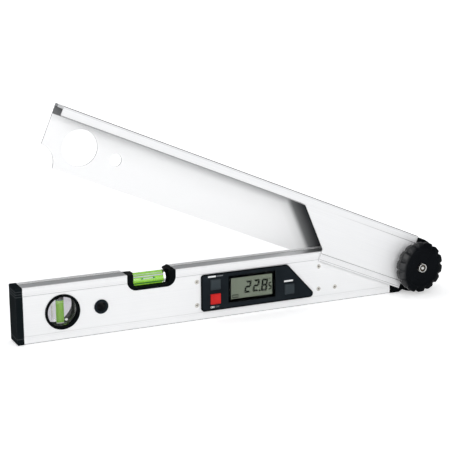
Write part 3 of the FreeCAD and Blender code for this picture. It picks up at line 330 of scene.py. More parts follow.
def inner_shade(look, behind, pits):
    """How dark the painted shade and dark reflection are on the inner face of the arm's rear wall, behind the
    slanted cut and up behind the lip.
    """
    x, y, z = look.parts.outputs
    across = look.math("MULTIPLY", look.math("SUBTRACT", x, CUT_POINT[0] * MM), CUT_NORMAL[0])
    upward = look.math("MULTIPLY", look.math("SUBTRACT", z, CUT_POINT[1] * MM), CUT_NORMAL[1])
    cut = look.math("ADD", across, upward)
    band = look.ramp(cut, 0.0, 0.72, -9.9 * MM, -2.4 * MM, smooth=True)
    before = look.ramp(cut, 0.0, 0.1, -18.5 * MM, -9.9 * MM)
    beyond = look.ramp(cut, 0.0, 0.15, -2.4 * MM, 9.5 * MM)
    deep = look.math("ADD", band, look.math("ADD", beyond, before))
    under = look.math("POWER", look.ramp(z, 0.0, 1.0, LIP_SHADE_FROM * MM, LIP_SHADE_FULL * MM), 1.5)
    under = look.math("MULTIPLY", under, look.ramp(x, 0.12, 0.4, -200 * MM, 60 * MM))
    high = look.ramp(z, 0.0, 0.86, (LIP_SHADE_FULL + 0.2) * MM, (LIP_SHADE_FULL + 0.9) * MM)
    deep = look.math("MAXIMUM", deep, look.math("MAXIMUM", under, high))
    inside = look.math("MULTIPLY", behind, look.math("LESS_THAN", y, REAR_WALL_MIDDLE * MM))
    return look.math("MULTIPLY", look.math("MULTIPLY", deep, inside), look.ramp(pits, 0.97, 1.0))


def aluminium(name, leg, lines, front, top_groove_shade=()):
    """Satin extruded aluminium: drawn streaks, groove lines and painted edge shade along the front, painted
    shade in the groove along the top, sawn edges, and painted light and shade where marked below.
    """
    look = Look(name, leg, Anisotropic=0.35, Specular_IOR_Level=0.2)
    y = look.parts.outputs[1]
    streaks = look.noise((7, 1700, 1700), 4, 0.6)
    broad = look.noise((12, 26, 26), 3)
    pits = look.noise((5200, 5200, 5200), 2)
    facing = look.node("SeparateXYZ")
    look.link(look.node("TexCoord").outputs["Normal"], facing.inputs[0])
    frontal = look.math("ABSOLUTE", facing.outputs[1])
    sideways = look.math("LESS_THAN", frontal, 0.4)
    upward = look.math("GREATER_THAN", facing.outputs[2], 0.8)
    outside = look.math("LESS_THAN", y, -front * MM)
    behind = look.math("GREATER_THAN", y, 5 * MM)

    colour = look.ramp(streaks, (0.88, 0.882, 0.885), (0.93, 0.932, 0.935))
    colour = look.over(look.ramp(broad, 0.0, 0.25, 0.35, 0.7), colour, (0.84, 0.845, 0.85))
    # Painted light: faces towards the back are paler
    colour = look.over(look.math("MULTIPLY", behind, 0.8), colour, (0.97, 0.97, 0.97))
    if leg == "base":
        # Painted shade on the base's top and a painted highlight at the end of its front
        colour = top_shade_and_end_highlight(look, colour, streaks, upward, outside)
    grooves_and_edge_shade = front_lines(look, lines, outside)
    # Groove lines and painted edge shade along the front
    colour = look.over(grooves_and_edge_shade, colour, (0.16, 0.16, 0.165))
    # Painted shade in the groove along the base's top
    for place, reach, depth in top_groove_shade:
        mask = look.math("MULTIPLY", look.near(y, place * MM, reach * MM), depth)
        colour = look.over(look.math("MULTIPLY", mask, upward), colour, (0.03, 0.03, 0.033))
    # Paler edges, partly scuffing and partly painted highlight
    edge_scuff_and_highlight, rounded = look.edges(0.3)
    edge_scuff_and_highlight = look.math("MULTIPLY", edge_scuff_and_highlight, look.math("SUBTRACT", 0.6, grooves_and_edge_shade, True))
    colour = look.over(edge_scuff_and_highlight, colour, (0.97, 0.97, 0.97))
    sawn = look.math("MULTIPLY", look.math("MULTIPLY", sideways, outside), look.ramp(pits, 0.75, 1.0))
    colour = look.over(sawn, colour, (0.93, 0.93, 0.93))
    if leg == "arm":
        # Painted shade and a painted dark reflection inside the arm, behind its cut and under its lip
        colour = look.over(inner_shade(look, behind, pits), colour, (0.011, 0.015, 0.019))
        # Painted shade on the sideways faces towards the arm's back, such as the rear wall's cut edges and
        # round window
        rim = look.math("MULTIPLY", sideways, look.math("MULTIPLY", behind, look.ramp(pits, 0.8, 0.9)))
        colour = look.over(rim, colour, (0.3, 0.31, 0.32))
        sawn = look.math("MAXIMUM", sawn, rim)
    look.put(colour, "Base Color")

    flat = look.math("MULTIPLY", look.ramp(frontal, 0.0, 1.0, 0.1, 0.4), look.math("SUBTRACT", 1.0, upward))
    metal = look.math("SUBTRACT", 0.9, look.math("MULTIPLY", sawn, 0.8))
    metal = look.math("SUBTRACT", metal, look.math("MULTIPLY", flat, 0.84))
    look.put(look.math("MAXIMUM", metal, 0.0, True), "Metallic")
    rough = look.math("ADD", look.ramp(streaks, 0.3, 0.38), look.ramp(broad, -0.02, 0.05))
    rough = look.math("ADD", rough, look.math("MULTIPLY", look.math("MAXIMUM", sawn, flat), 0.2))
    look.put(rough, "Roughness")
    height = look.math("ADD", look.math("MULTIPLY", streaks, 0.5), look.math("MULTIPLY", pits, 0.3))
    height = look.math("SUBTRACT", height, look.math("MULTIPLY", grooves_and_edge_shade, 1.5))
    look.put(look.bump(height, 0.012, rounded), "Normal")
    return look.material


def plastic(name, leg="base", dark=(0.002, 0.0028, 0.0032), light=(0.005, 0.006, 0.007), rough=(0.38, 0.5),
            grain=2100, scuff_and_highlight_colour=(0.02, 0.024, 0.028), edge=0.35, depth=0.03, gloss=0.01, sheen_gloss=0,
            lines=()):
    """Moulded plastic with a fine grain, patches and paler edges, partly scuffing and partly painted highlight,
    with a painted sheen and painted pale lines where asked.
    """
    look = Look(name, leg, Specular_IOR_Level=gloss)
    # Painted sheen: the gloss rises away from a place by the pivot
    if sheen_gloss:
        flat = look.node("VectorMath", operation="MULTIPLY")
        flat.inputs[1].default_value = (1, 0, 1)
        look.link(look.coords, flat.inputs[0])
        away = look.node("VectorMath", operation="DISTANCE")
        away.inputs[1].default_value = ((PIVOT_X + SHEEN_AWAY_FROM[0]) * MM, 0, (PIVOT_Z + SHEEN_AWAY_FROM[1]) * MM)
        look.link(flat.outputs[0], away.inputs[0])
        sheen = look.ramp(away.outputs["Value"], gloss, sheen_gloss, SHEEN_START * MM, SHEEN_FULL * MM)
        look.put(sheen, "Specular IOR Level")
    fine = look.noise((grain,) * 3, 3, 0.6)
    patch = look.noise((45, 45, 45), 3)
    colour = look.ramp(patch, dark, light)
    colour = look.over(look.ramp(fine, 0.0, 0.35, 0.55, 0.75), colour, light)
    # Paler edges, partly scuffing and partly painted highlight
    edge_scuff_and_highlight, rounded = look.edges(edge)
    scuffs_and_highlights = look.math("MULTIPLY", edge_scuff_and_highlight, look.ramp(patch, 0.2, 0.8))
    # Painted pale lines, highlights along ridges
    for place in lines:
        line = look.near(look.parts.outputs[2], place * MM, 0.4 * MM)
        scuffs_and_highlights = look.math("MAXIMUM", scuffs_and_highlights, look.math("MULTIPLY", line, 0.5))
    colour = look.over(scuffs_and_highlights, colour, scuff_and_highlight_colour)
    look.put(colour, "Base Color")
    look.put(look.math("ADD", look.ramp(fine, *rough), look.ramp(patch, -0.04, 0.04)), "Roughness")
    look.put(look.bump(fine, depth, rounded), "Normal")
    return look.material


def steel(name, leg, recess, colour=((0.5, 0.49, 0.46), (0.68, 0.66, 0.62))):
    """Plated steel, brown in its recesses, which lie within two depths from the middle."""
    look = Look(name, leg, Metallic=0.95)
    fine = look.noise((2600, 2600, 2600), 2)
    patch = look.noise((400, 400, 400), 3)
    made = look.ramp(patch, *colour)
    if recess:
        depth = look.math("ABSOLUTE", look.parts.outputs[1])
        inside = look.math("MULTIPLY", look.math("LESS_THAN", depth, recess[1] * MM),
                           look.math("GREATER_THAN", depth, recess[0] * MM))
        made = look.over(inside, made, look.ramp(patch, (0.012, 0.01, 0.007), (0.06, 0.045, 0.03)))
    # Paler edges, partly scuffing and partly painted highlight
    edge_scuff_and_highlight, rounded = look.edges(0.15)
    made = look.over(look.math("MULTIPLY", edge_scuff_and_highlight, 0.4), made, (0.8, 0.79, 0.77))
    look.put(made, "Base Color")
    look.put(look.ramp(fine, 0.25, 0.42), "Roughness")
    look.put(look.bump(fine, 0.01, rounded), "Normal")
    return look.material


def clear(name, tint, haze=(0.0, 0.05), leg="base", **sockets):
    """Clear acrylic with faint moulding waves."""
    look = Look(name, leg, Transmission_Weight=1.0, **{"IOR": 1.47, **sockets})
    waves = look.noise((160, 160, 160), 2)
    look.put(look.ramp(waves, tint, tuple(min(1.0, c + 0.03) for c in tint)), "Base Color")
    look.put(look.ramp(waves, *haze), "Roughness")
    look.put(look.bump(waves, 0.02), "Normal")
    return look.material


def liquid(name, low, high, glow):
    """Fluorescent green vial liquid, paler in streaks, whose glow is painted light."""
    look = Look(name, "base", Transmission_Weight=0.25, IOR=1.36, Emission_Strength=glow, Coat_Weight=0.3)
    cloud = look.noise((120, 300, 60), 3)
    colour = look.ramp(cloud, low, high)
    look.put(colour, "Base Color")
    look.put(colour, "Emission Color")
    look.put(look.ramp(cloud, 0.1, 0.25), "Roughness")
    return look.material


def plain(name, low, high, rough=(0.3, 0.45), scale=900, leg="base", **sockets):
    """A surface with fine mottling in colour, gloss and height."""
    look = Look(name, leg, **sockets)
    fine = look.noise((scale,) * 3, 3)
    look.put(look.ramp(fine, low, high), "Base Color")
    look.put(look.ramp(fine, *rough), "Roughness")
    look.put(look.bump(fine, 0.008), "Normal")
    return look.material


# Lines along the fronts, groove lines of the extrusion and darker painted shade along edges such as the lip's
# lower edge, the arm's top edge and the base's bottom edge: height, half width, strength, and the distances
# from the pivot where a line is full and where it has faded out, or 0 for one that runs on. Painted shade in
# the groove along the top: depth, half width and strength
# The base's line at 0.4 is painted shade along its bottom edge
BASE_LINES = [
    (48.5, 0.4, 0.4, 0, 0), (50.3, 0.2, 0.16, 0, 0), (51.7, 0.15, 0.1, 0, 0), (55.6, 0.2, 0.16, 0, 0),
    (8.0, 0.35, 0.14, 0, 0), (6.3, 0.2, 0.1, 0, 0), (4.9, 0.15, 0.08, 0, 0), (0.4, 0.42, 0.7, 0, 0)]
# Of the arm's lines, those at 30.7 and 21.2 are painted shade along the top edge and the lip's lower edge
ARM_LINES = [(PIVOT_Z + v, reach, depth, near, far) for v, reach, depth, near, far in (
    (-22.1, 0.38, 0.65, 0, 0), (-23.7, 0.15, 0.18, 0, 0), (-24.9, 0.15, 0.18, 0, 0),
    (-26.1, 0.15, 0.18, 0, 0), (-27.2, 0.15, 0.15, 0, 0), (-28.5, 0.35, 0.5, 0, 0), (-30.2, 0.25, 0.3, 0, 0),
    (22.8, 0.38, 0.6, 15, 120), (24.1, 0.15, 0.2, 0, 90), (25.3, 0.15, 0.2, 0, 90), (26.5, 0.15, 0.2, 0, 90),
    (29.1, 0.3, 0.2, 0, 0), (30.7, 0.45, 0.95, 0, 0), (21.2, 0.55, 0.75, 162, 154))]
BASE_TOP_GROOVE_SHADE = [(3.6, 1.6, 0.9)]
metal_base = aluminium("aluminium_base", "base", BASE_LINES, 10.0, BASE_TOP_GROOVE_SHADE)
metal_arm = aluminium("aluminium_arm", "arm", ARM_LINES, 12.35)
black = plastic("black_moulding")
black_arm = plastic("black_moulding_arm", "arm")
# The end cap's pale lines are painted highlights along its ridges
cap_black = plastic("cap_moulding", dark=(0.006, 0.009, 0.010), light=(0.010, 0.013, 0.015),
                    scuff_and_highlight_colour=(0.09, 0.1, 0.105), gloss=0.0006, lines=(53.6, 51.0, 48.4, 6.0))
panel_black = plastic("panel_moulding", dark=(0.010, 0.0135, 0.0165), light=(0.015, 0.0195, 0.0235),
                      rough=(0.3, 0.4), grain=1500, depth=0.012)
# The knob carries a painted sheen on one side
knob_black = plastic("knob_moulding", "arm", dark=(0.004, 0.0046, 0.0055), light=(0.006, 0.007, 0.0085),
                     rough=(0.3, 0.42), grain=1700, scuff_and_highlight_colour=(0.009, 0.010, 0.012), edge=0.5,
                     sheen_gloss=0.42)
inner = plastic("inner_moulding", dark=(0.05, 0.05, 0.055), light=(0.09, 0.09, 0.095))
inner_arm = plastic("washer_moulding", "arm", dark=(0.65, 0.65, 0.62), light=(0.8, 0.8, 0.77),
                    scuff_and_highlight_colour=(0.85, 0.85, 0.82))
jacket = plain("battery_wrap", (0.08, 0.09, 0.1), (0.14, 0.15, 0.17), Metallic=0.4)
brass = plain("turned_brass", (0.6, 0.45, 0.2), (0.75, 0.6, 0.33), Metallic=1.0)
board = plain("solder_mask", (0.03, 0.16, 0.07), (0.05, 0.25, 0.12), (0.25, 0.4), 1400)
screw_steel = steel("base_screw_steel", "base", (0, 11.05), ((0.38, 0.37, 0.34), (0.6, 0.58, 0.54)))
door_steel = steel("door_screw_steel", "base", (0, 11.85))
cover_steel = steel("cover_screw_steel", "arm", None)
stud_steel = steel("stud_steel", "arm", (20, 33.75), ((0.4, 0.4, 0.38), (0.58, 0.58, 0.57)))
acrylic = clear("vial_acrylic_clear", (0.93, 0.92, 0.96))
pane_clear = clear("window_acrylic_clear", (0.95, 0.96, 0.95), IOR=1.12)
smoky = clear("vial_acrylic_smoky", (0.37, 0.36, 0.39))
# The vial liquid glows as painted light
green_fluid = liquid("vial_liquid", (0.26, 0.56, 0.04), (0.36, 0.68, 0.08), 0.42)
# Teal for the meniscus and the bubble's ends, and for a painted shade line on the level vial
teal = plain("vial_meniscus", (0.005, 0.11, 0.06), (0.012, 0.2, 0.1), (0.2, 0.4))
glint = plain("vial_glint", (0.85, 0.84, 0.86), (0.95, 0.94, 0.96), Emission_Strength=0.9)
# Pale lilac for painted highlight lines and the bubble
lilac = plain("vial_gleam_lilac", (0.5, 0.47, 0.58), (0.7, 0.67, 0.76), (0.15, 0.3))
# The foot's glow is painted light
pale_foot = plain("vial_foot", (0.6, 0.56, 0.5), (0.85, 0.8, 0.76), Emission_Strength=0.35)
gleam_look = plain("vial_gleam_yellow", (0.75, 0.78, 0.45), (0.95, 0.96, 0.75), (0.2, 0.4),
                   Emission_Strength=0.45)
shade_look = plain("vial_shade", (0.015, 0.016, 0.018), (0.06, 0.062, 0.066))
lcd_face = plain("lcd_polariser", (0.126, 0.152, 0.106), (0.146, 0.172, 0.122), (0.3, 0.4), 2600)
segment = plain("lcd_segment", (0.002, 0.003, 0.002), (0.006, 0.007, 0.006), (0.5, 0.6),
                Specular_IOR_Level=0.05)
print_white = plain("pad_print_white", (0.72, 0.73, 0.73), (0.86, 0.87, 0.87), (0.5, 0.65))
print_grey = plain("pad_print_grey", (0.11, 0.12, 0.13), (0.16, 0.17, 0.18), (0.5, 0.65))
slate = plastic("button_slate", dark=(0.038, 0.048, 0.054), light=(0.052, 0.064, 0.071), rough=(0.5, 0.65),
                grain=2600, scuff_and_highlight_colour=(0.08, 0.09, 0.10), edge=0.3)
red = plastic("button_red", dark=(0.6, 0.024, 0.024), light=(0.71, 0.045, 0.04), rough=(0.45, 0.6),
              grain=2600, scuff_and_highlight_colour=(0.82, 0.12, 0.1), edge=0.3)

NODE_LOOKS = {
    "base_profile": metal_base,
    "arm_profile": metal_arm,
    "end_cap": cap_black,
    "hinge_block": black,
    "display_screws": screw_steel,
    "hinge_block_screws": screw_steel,
    "battery_door_screw": door_steel,
    "pivot_bush": brass,
    "angle_sensor_board": board,
    "angle_sensor_disc": board,
    "plumb_vial_ring_front": black,
    "plumb_vial_ring_rear": black,
    "hang_hole_sleeve": panel_black,
    "level_vial_saddle": black,
    "display_panel": panel_black,
    "display_window": pane_clear,
    "lcd_glass": lcd_face,
    "lcd_connector": inner,
    "circuit_board": board,
    "display_chassis": inner,
    "button_switches": inner,
    "battery_door": black,
    "battery_tray": inner,
    "battery": jacket,
    "battery_clip": inner,
    "hinge_cover_front": black_arm,
    "hinge_cover_rear": black_arm,
    "hinge_cover_screws": cover_steel,
    "friction_washer": inner_arm,
    "clamp_washer": inner_arm,
    "knob_insert": cover_steel,
}
for name, look in NODE_LOOKS.items():
    mesh = nodes[name].data
    mesh.materials.clear()
    mesh.materials.append(look)


# Clamp knob: fourteen soft lobes, rounded rim and a shallow dish

LOBES = 14
FLUTE_DEPTH = 1.5
FLUTE_RISE = 1.3
FLUTES_FROM = 21.0
FLUTES_FULL = 25.5
GRIP_BACK = -29


def lobed(radius, place, angle):
    """A point of the grip, sunk where a flute crosses the rim and left as it is near the hub."""
    turn = (angle * LOBES / math.tau + 0.5) % 1.0 - 0.5
    dent = (1 + math.cos(math.tau * turn / 0.5)) / 2 if abs(turn) < 0.25 else 0.0
    share = min(1.0, max(0.0, (radius - FLUTES_FROM) / (FLUTES_FULL - FLUTES_FROM)))
    dent *= share * share * (3 - 2 * share)
    return radius - FLUTE_DEPTH * dent, place + (FLUTE_RISE * dent if place < GRIP_BACK else 0.0)


knob_profile = [(5.1, -16.9), (8.5, -16.9), (12.5, -16.9)] + bend(12.5, -17.4, 0.5, 90, 0, 3)
knob_profile += [(13.0, -20.0), (13.0, -22.0), (13.4, -22.4), (18.0, -22.4), (22.5, -22.4), (24.0, -22.4)]
knob_profile += bend(25.9, -23.7, 1.3, 90, 5, 6)
knob_profile += [(27.5, -25.0), (27.9, -27.5)]
knob_profile += [(c, -p) for c, p in bend(27.0, 29.4, 1.1, 0, 62, 8)]
knob_profile += [
    (26.2, -31.05), (24.8, -31.75), (23.4, -32.35), (22.0, -32.85), (21.0, -33.0), (20.4, -32.98),
    (20.0, -32.8), (19.7, -32.5), (18.2, -32.34), (16.2, -32.16), (14.2, -32.05), (13.3, -32.02),
    (12.9, -31.9), (12.5, -31.96), (10.5, -32.0), (8.2, -32.0), (7.4, -32.02), (7.0, -32.3), (6.0, -32.3),
    (5.4, -32.2), (5.05, -31.9), (5.0, -30.6)]
piece("knob_grip", *turned(knob_profile, (0, 0, 0), LOBES * 16, "Y", lobed), "arm", knob_black, "knob",
      ["clamp_knob"], "knob_plastic", sharp=60)


# Pivot stud: its round head at the back, its bright end with a groove round a centre pin at the front. It
# widens clear of the knob's insert, which comes forward when the knob is loosened

stud = [
    (0.001, 16.2), (7.6, 16.2), (8.4, 15.95), (8.8, 15.4), (8.8, 14.0), (5.0, 14.0), (5.0, -16.1),
    (4.0, -16.2), (4.0, -32.95), (4.7, -33.05), (4.85, -33.3), (4.85, -34.0), (4.7, -34.35), (4.4, -34.5),
    (4.1, -34.5),
    (3.85, -34.3), (3.7, -33.9), (3.65, -33.1), (1.85, -33.1), (1.8, -33.9), (1.55, -34.2), (0.9, -34.4),
    (0.001, -34.45)]
piece("pivot_stud_end", *turned(stud, (0, 0, 0), 64, "Y", closed=False), "arm", stud_steel, "arm",
      ["pivot_stud"], "screw_steel", sharp=50)


# Push buttons: rounded caps with a shallow finger dish, on a flange behind the panel

FIELD = 11.2
PANEL_FACE = 12.8
CAP_WIDTH = 11.6
CAP_HEIGHT = 11.2
CAP_EDGE = 0.45
CAP_SLOPE = 0.8
FLANGE = 1.0
BUTTONS = {
    "hold_button": (-239.3, 36.1, slate, "grey_button"),
    "power_button": (-239.3, 20.7, red, "red_button"),
    "mode_button": (-153.3, 20.7, slate, "grey_button"),
}


def button_cap(across, along):
    """A cap whose lower side slopes back."""
    loops = []
    for inset, depth in ((0.0, -FIELD), (0.0, -12.9), (0.25, -13.4), (CAP_EDGE, -13.85), (0.65, -14.03),
                         (1.0, -14.1), (1.8, -14.04), (3.0, -13.97), (4.4, -13.93)):
        slope = CAP_SLOPE * min(1.0, inset / CAP_EDGE)
        width, rise = CAP_WIDTH - 2 * inset, CAP_HEIGHT - 2 * inset - slope
        outline = box_outline(across, along + slope / 2, width, rise, max(0.9 - 0.1 * inset, 0.5), 5)
        loops.append([(x, depth, z) for x, z in outline])
    return solid_of_loops(loops)


for name, (across, along, look, slot) in BUTTONS.items():
    flange = prism(box_outline(across, along, CAP_WIDTH + 2 * FLANGE, CAP_HEIGHT + 2 * FLANGE, 0.4, 3),
                   -FIELD, -(FIELD - 1.0))
    verts, faces = joined(button_cap(across, along), flange)
    piece(name + "_cap", verts, faces, "base", look, name, [name], slot, sharp=50)


# Raised rim of the display panel

def panel_outline(inset, corner, tip):
    far, near, run, bottom, top = -255.3, -119.9, 36.0, 8.7, 47.8
    rise = top - bottom
    slant = math.hypot(run, rise)
    return round_corners([
        (far + inset, bottom + inset, corner),
        (near - inset * (slant + run) / rise, bottom + inset, tip),
        (near - run - inset * (slant - run) / rise, top - inset, corner),
        (far + inset, top - inset, corner),
    ], 8)


def band_of_loops(loops):
    """A closed ring through loops of equally many points."""
    count = len(loops[0])
    verts = [v for loop in loops for v in loop]
    faces = []
    for row in range(len(loops)):
        after = (row + 1) % len(loops)
        for column in range(count):
            beside = (column + 1) % count
            faces.append((row * count + column, row * count + beside,
                          after * count + beside, after * count + column))
    return verts, faces


rim = []
for inset, depth in ((0.02, -12.78), (0.05, -12.98), (0.25, -13.12), (0.7, -13.14), (1.05, -13.02),
                     (1.2, -12.78)):
    rim.append([(x, depth, z) for x, z in panel_outline(inset, 3.3 - inset, 4.0 - inset)])
piece("panel_rim", *band_of_loops(rim), "base", black, "base", slot="black_plastic", sharp=50)


# Display: slanted seven-part digits, a degree mark and a battery sign on the glass

VIEW_LEFT = -197.3 - 24.0
VIEW_BOTTOM = 28.85 - 11.3
INK_FACE = FIELD + 0.05
DIGIT_SLANT = math.tan(math.radians(7))
SEGMENTS = {
    "2": "abged", "5": "afgcd", "8": "abcdefg",
}


def segment_bars(width, height, stroke):
    """Outlines of the seven bars of a digit with its lower left corner at the origin."""
    w, h, s = width, height, stroke
    m = h / 2
    g = 0.1 * s
    return {
        "a": [(g, h), (w - g, h), (w - s - g, h - s), (s + g, h - s)],
        "d": [(g, 0), (s + g, s), (w - s - g, s), (w - g, 0)],
        "g": [(g + 0.1, m), (s * 0.8 + g, m + s / 2), (w - s * 0.8 - g, m + s / 2), (w - g - 0.1, m),
              (w - s * 0.8 - g, m - s / 2), (s * 0.8 + g, m - s / 2)],
        "f": [(0, h - g), (s, h - s - g), (s, m + s / 2 + g), (0, m + g)],
        "e": [(0, m - g), (s, m - s / 2 - g), (s, s + g), (0, g)],
        "b": [(w, h - g), (w, m + g), (w - s, m + s / 2 + g), (w - s, h - s - g)],
        "c": [(w, m - g), (w, g), (w - s, s + g), (w - s, m - s / 2 - g)],
    }


def digit(sign, left, bottom, width, height, stroke):
    slanted = []
    for bar in SEGMENTS[sign]:
        outline = [(VIEW_LEFT + left + x + z * DIGIT_SLANT, VIEW_BOTTOM + bottom + z)
                   for x, z in segment_bars(width, height, stroke)[bar]]
        slanted.append(prism(outline, -INK_FACE, -FIELD))
    return slanted


digits = digit("2", 15.3, 4.9, 7.2, 12.9, 2.15) + digit("2", 24.9, 5.1, 7.2, 12.9, 2.15)
digits += digit("8", 34.5, 4.5, 7.2, 13.2, 2.15) + digit("5", 42.9, 5.1, 4.1, 8.3, 1.45)
digits.append(prism(box_outline(VIEW_LEFT + 33.2, VIEW_BOTTOM + 5.6, 1.9, 1.9, 0.3, 2), -INK_FACE, -FIELD))
degree = turned([(0.55, -FIELD), (0.95, -FIELD), (0.95, -INK_FACE), (0.55, -INK_FACE)],
                (VIEW_LEFT + 45.6, 0, VIEW_BOTTOM + 17.0), 20)
digits.append(degree)
SIGN_RISE = VIEW_BOTTOM + 2.7
case = []
for width, rise, depth in ((6.8, 3.6, FIELD), (6.8, 3.6, INK_FACE), (5.3, 2.1, INK_FACE), (5.3, 2.1, FIELD)):
    case.append([(x, -depth, z) for x, z in box_outline(VIEW_LEFT + 5.2, SIGN_RISE, width, rise, 0.3, 2)])
digits.append(band_of_loops(case))
for across, width, rise in ((4.0, 1.3, 0.5), (6.4, 1.3, 0.5), (6.4, 0.5, 1.3)):
    digits.append(prism(box_outline(VIEW_LEFT + across, SIGN_RISE, width, rise, 0.1, 1), -INK_FACE, -FIELD))
for across in (3.4, 7.0):
    pole = box_outline(VIEW_LEFT + across, SIGN_RISE + 1.8, 0.8, 0.5, 0.1, 1)
    digits.append(prism(pole, -INK_FACE, -FIELD))
piece("lcd_figures", *joined(*digits), "base", segment, "base", slot="lcd_glass", smooth=False)


# Printed marks by the buttons: plain bars, and ON and OFF by the switch

def mark(name, across, along, width, rise, look):
    """A printed bar on the panel."""
    outline = box_outline(across, along, width, rise, 0.4, 3)
    piece(name, *prism(outline, -(PANEL_FACE + 0.04), -(PANEL_FACE - 0.01)), "base", look, "base",
          slot="window_acrylic", smooth=False)


def word(name, text, across, along, height, look, weight):
    """Printed capitals with their lower left corner at a place on the panel."""
    curve = bpy.data.curves.new(name + "_curve", "FONT")
    curve.body = text
    curve.size = height * MM / 0.7
    curve.extrude = 0.02 * MM
    curve.offset = weight * MM
    curve.resolution_u = 3
    shape = bpy.data.objects.new(name + "_curve", curve)
    bpy.context.scene.collection.objects.link(shape)
    mesh = bpy.data.meshes.new_from_object(shape.evaluated_get(bpy.context.evaluated_depsgraph_get()))
    bpy.data.objects.remove(shape)
    mesh.transform(LEGS["base"] @ Matrix.Translation((across * MM, -(PANEL_FACE + 0.02) * MM, along * MM))
                   @ Matrix.Rotation(math.radians(90), 4, "X"))
    mesh.materials.clear()
    mesh.materials.append(look)
    obj = bpy.data.objects.new(name, mesh)
    bpy.context.scene.collection.objects.link(obj)
    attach(obj, "base")


mark("hold_mark_bold", -243.4, 45.0, 8.8, 1.7, print_white)
mark("hold_mark_fine", -234.6, 45.0, 7.6, 1.1, print_grey)
mark("mode_mark", -154.6, 29.8, 10.6, 1.8, print_white)
word("power_on_print", "ON", -245.2, 11.4, 1.9, print_white, 0.12)
word("power_off_print", "OFF", -240.0, 11.4, 1.9, print_grey, 0.02)


# Plumb vial: a smoky clear disc with an upright tube of green liquid, its dark cap, a pale foot that glows as
# painted light, a glowing painted highlight line on its left, two painted glints at the bottom and a dark
# crescent sheet of painted shade where the ring shows through

def vial_part(name, profile, centre, columns, axis, look, slot, replaced=(), sharp=40):
    """A piece of a vial, turned about an axis through a centre."""
    verts, faces = turned(profile, centre, columns, axis, closed=False)
    piece(name, verts, faces, "base", look, "base", replaced, slot, sharp=sharp)


PLUMB = (-403.3, 0, 28.3)
disc = [(0.001, -6.95), (14.9, -6.95), (15.35, -6.7), (15.55, -6.2), (15.55, 6.2), (15.35, 6.7), (14.9, 6.95),
        (0.001, 6.95)]
tube = [(0.001, -12.4), (2.9, -12.4)] + bend(2.9, -11.4, 1.0, -90, 0, 5) + [(3.9, 9.3), (0.001, 9.3)]
meniscus = [(0.001, 9.32), (3.9, 9.32), (3.95, 9.6), (3.7, 10.4), (2.6, 10.7), (0.001, 10.8)]
stopper = [(0.001, 10.82), (2.6, 10.75), (3.9, 10.5), (4.0, 11.0), (3.7, 12.0), (2.4, 12.5), (0.001, 12.6)]
foot = [(0.001, -12.42), (3.2, -12.42), (3.8, -12.6), (3.9, -13.0), (3.4, -13.5), (2.0, -13.8),
        (0.001, -13.85)]
gleam = [(0.001, -8.5), (0.35, -8.3), (0.7, -6.5), (0.8, 0.0), (0.7, 6.5), (0.3, 9.0), (0.001, 9.3)]
beside_tube = (PLUMB[0] - 7.9, 0, PLUMB[2])
vial_part("plumb_vial_disc", disc, PLUMB, 96, "Y", smoky, "vial_acrylic", ["plumb_vial_block"], 35)
vial_part("plumb_vial_liquid", tube, PLUMB, 48, "Z", green_fluid, "vial_fluid", ["plumb_vial_fluid"], 35)
vial_part("plumb_vial_meniscus", meniscus, PLUMB, 40, "Z", teal, "vial_fluid")
vial_part("plumb_vial_stopper", stopper, PLUMB, 40, "Z", black, "black_plastic")
# A pale foot whose glow is painted light
vial_part("plumb_vial_foot", foot, PLUMB, 40, "Z", pale_foot, "vial_fluid")
vial_part("plumb_vial_gleam", gleam, beside_tube, 16, "Z", gleam_look, "vial_fluid")

CRESCENT_STEPS = 48


def crescent_edge(step, radius):
    """A point of the crescent's outline, at a radius from the vial's middle."""
    angle = math.radians(-140 + 190 * step / CRESCENT_STEPS)
    return PLUMB[0] + radius * math.cos(angle), PLUMB[2] + radius * math.sin(angle)


crescent = [crescent_edge(step, 15.1) for step in range(CRESCENT_STEPS + 1)]
for step in range(CRESCENT_STEPS, -1, -1):
    crescent.append(crescent_edge(step, 15.0 - 5.2 * math.sin(math.pi * step / CRESCENT_STEPS) ** 1.3))
piece("plumb_vial_shade", *prism(crescent, 4.6, 5.0), "base", shade_look, "base", slot="black_plastic",
      smooth=False)

glint_spot = [(0.001, -0.5), (0.35, -0.4), (0.5, 0.0), (0.35, 0.4), (0.001, 0.5)]
GLINT_DEPTH = 2
for index, (across, along, width, rise) in enumerate(((6.4, -10.9, 3.0, 2.2), (-5.3, -10.6, 2.0, 2.8))):
    verts, faces = turned(glint_spot, (0, 0, 0), 16, "Y", closed=False)
    left, low = PLUMB[0] + across, PLUMB[2] + along
    verts = [(left + x * width, GLINT_DEPTH + y, low + z * rise) for x, y, z in verts]
    piece(f"plumb_vial_glint_{index}", verts, faces, "base", glint, "base", slot="vial_acrylic")


# Level vial: a clear round bar with a green tube, painted highlight lines, a bubble under the top and a painted
# shade line low on its front

LEVEL = (-309.2, 0, 48.8)
bar = [(0.001, -19.75), (5.9, -19.75)] + bend(5.9, -18.95, 0.8, -90, 0, 4) + bend(5.9, 16.6, 0.8, 0, 90, 4)
bar.append((0.001, 17.4))
fill = [(0.001, -17.4), (4.2, -17.4)] + bend(4.2, -16.4, 1.0, -90, 0, 4) + bend(4.2, 14.2, 1.0, 0, 90, 4)
fill.append((0.001, 15.2))
pad = [(0.001, 17.42), (6.2, 17.42), (6.6, 17.7), (6.7, 18.4), (6.65, 19.3), (6.2, 19.72), (0.001, 19.75)]
vial_part("level_vial_bar", bar, LEVEL, 72, "X", acrylic, "vial_acrylic", ["level_vial_block"], 35)
vial_part("level_vial_liquid", fill, LEVEL, 56, "X", green_fluid, "vial_fluid", ["level_vial_fluid"], 35)
vial_part("level_vial_pad", pad, LEVEL, 56, "X", black, "black_plastic")


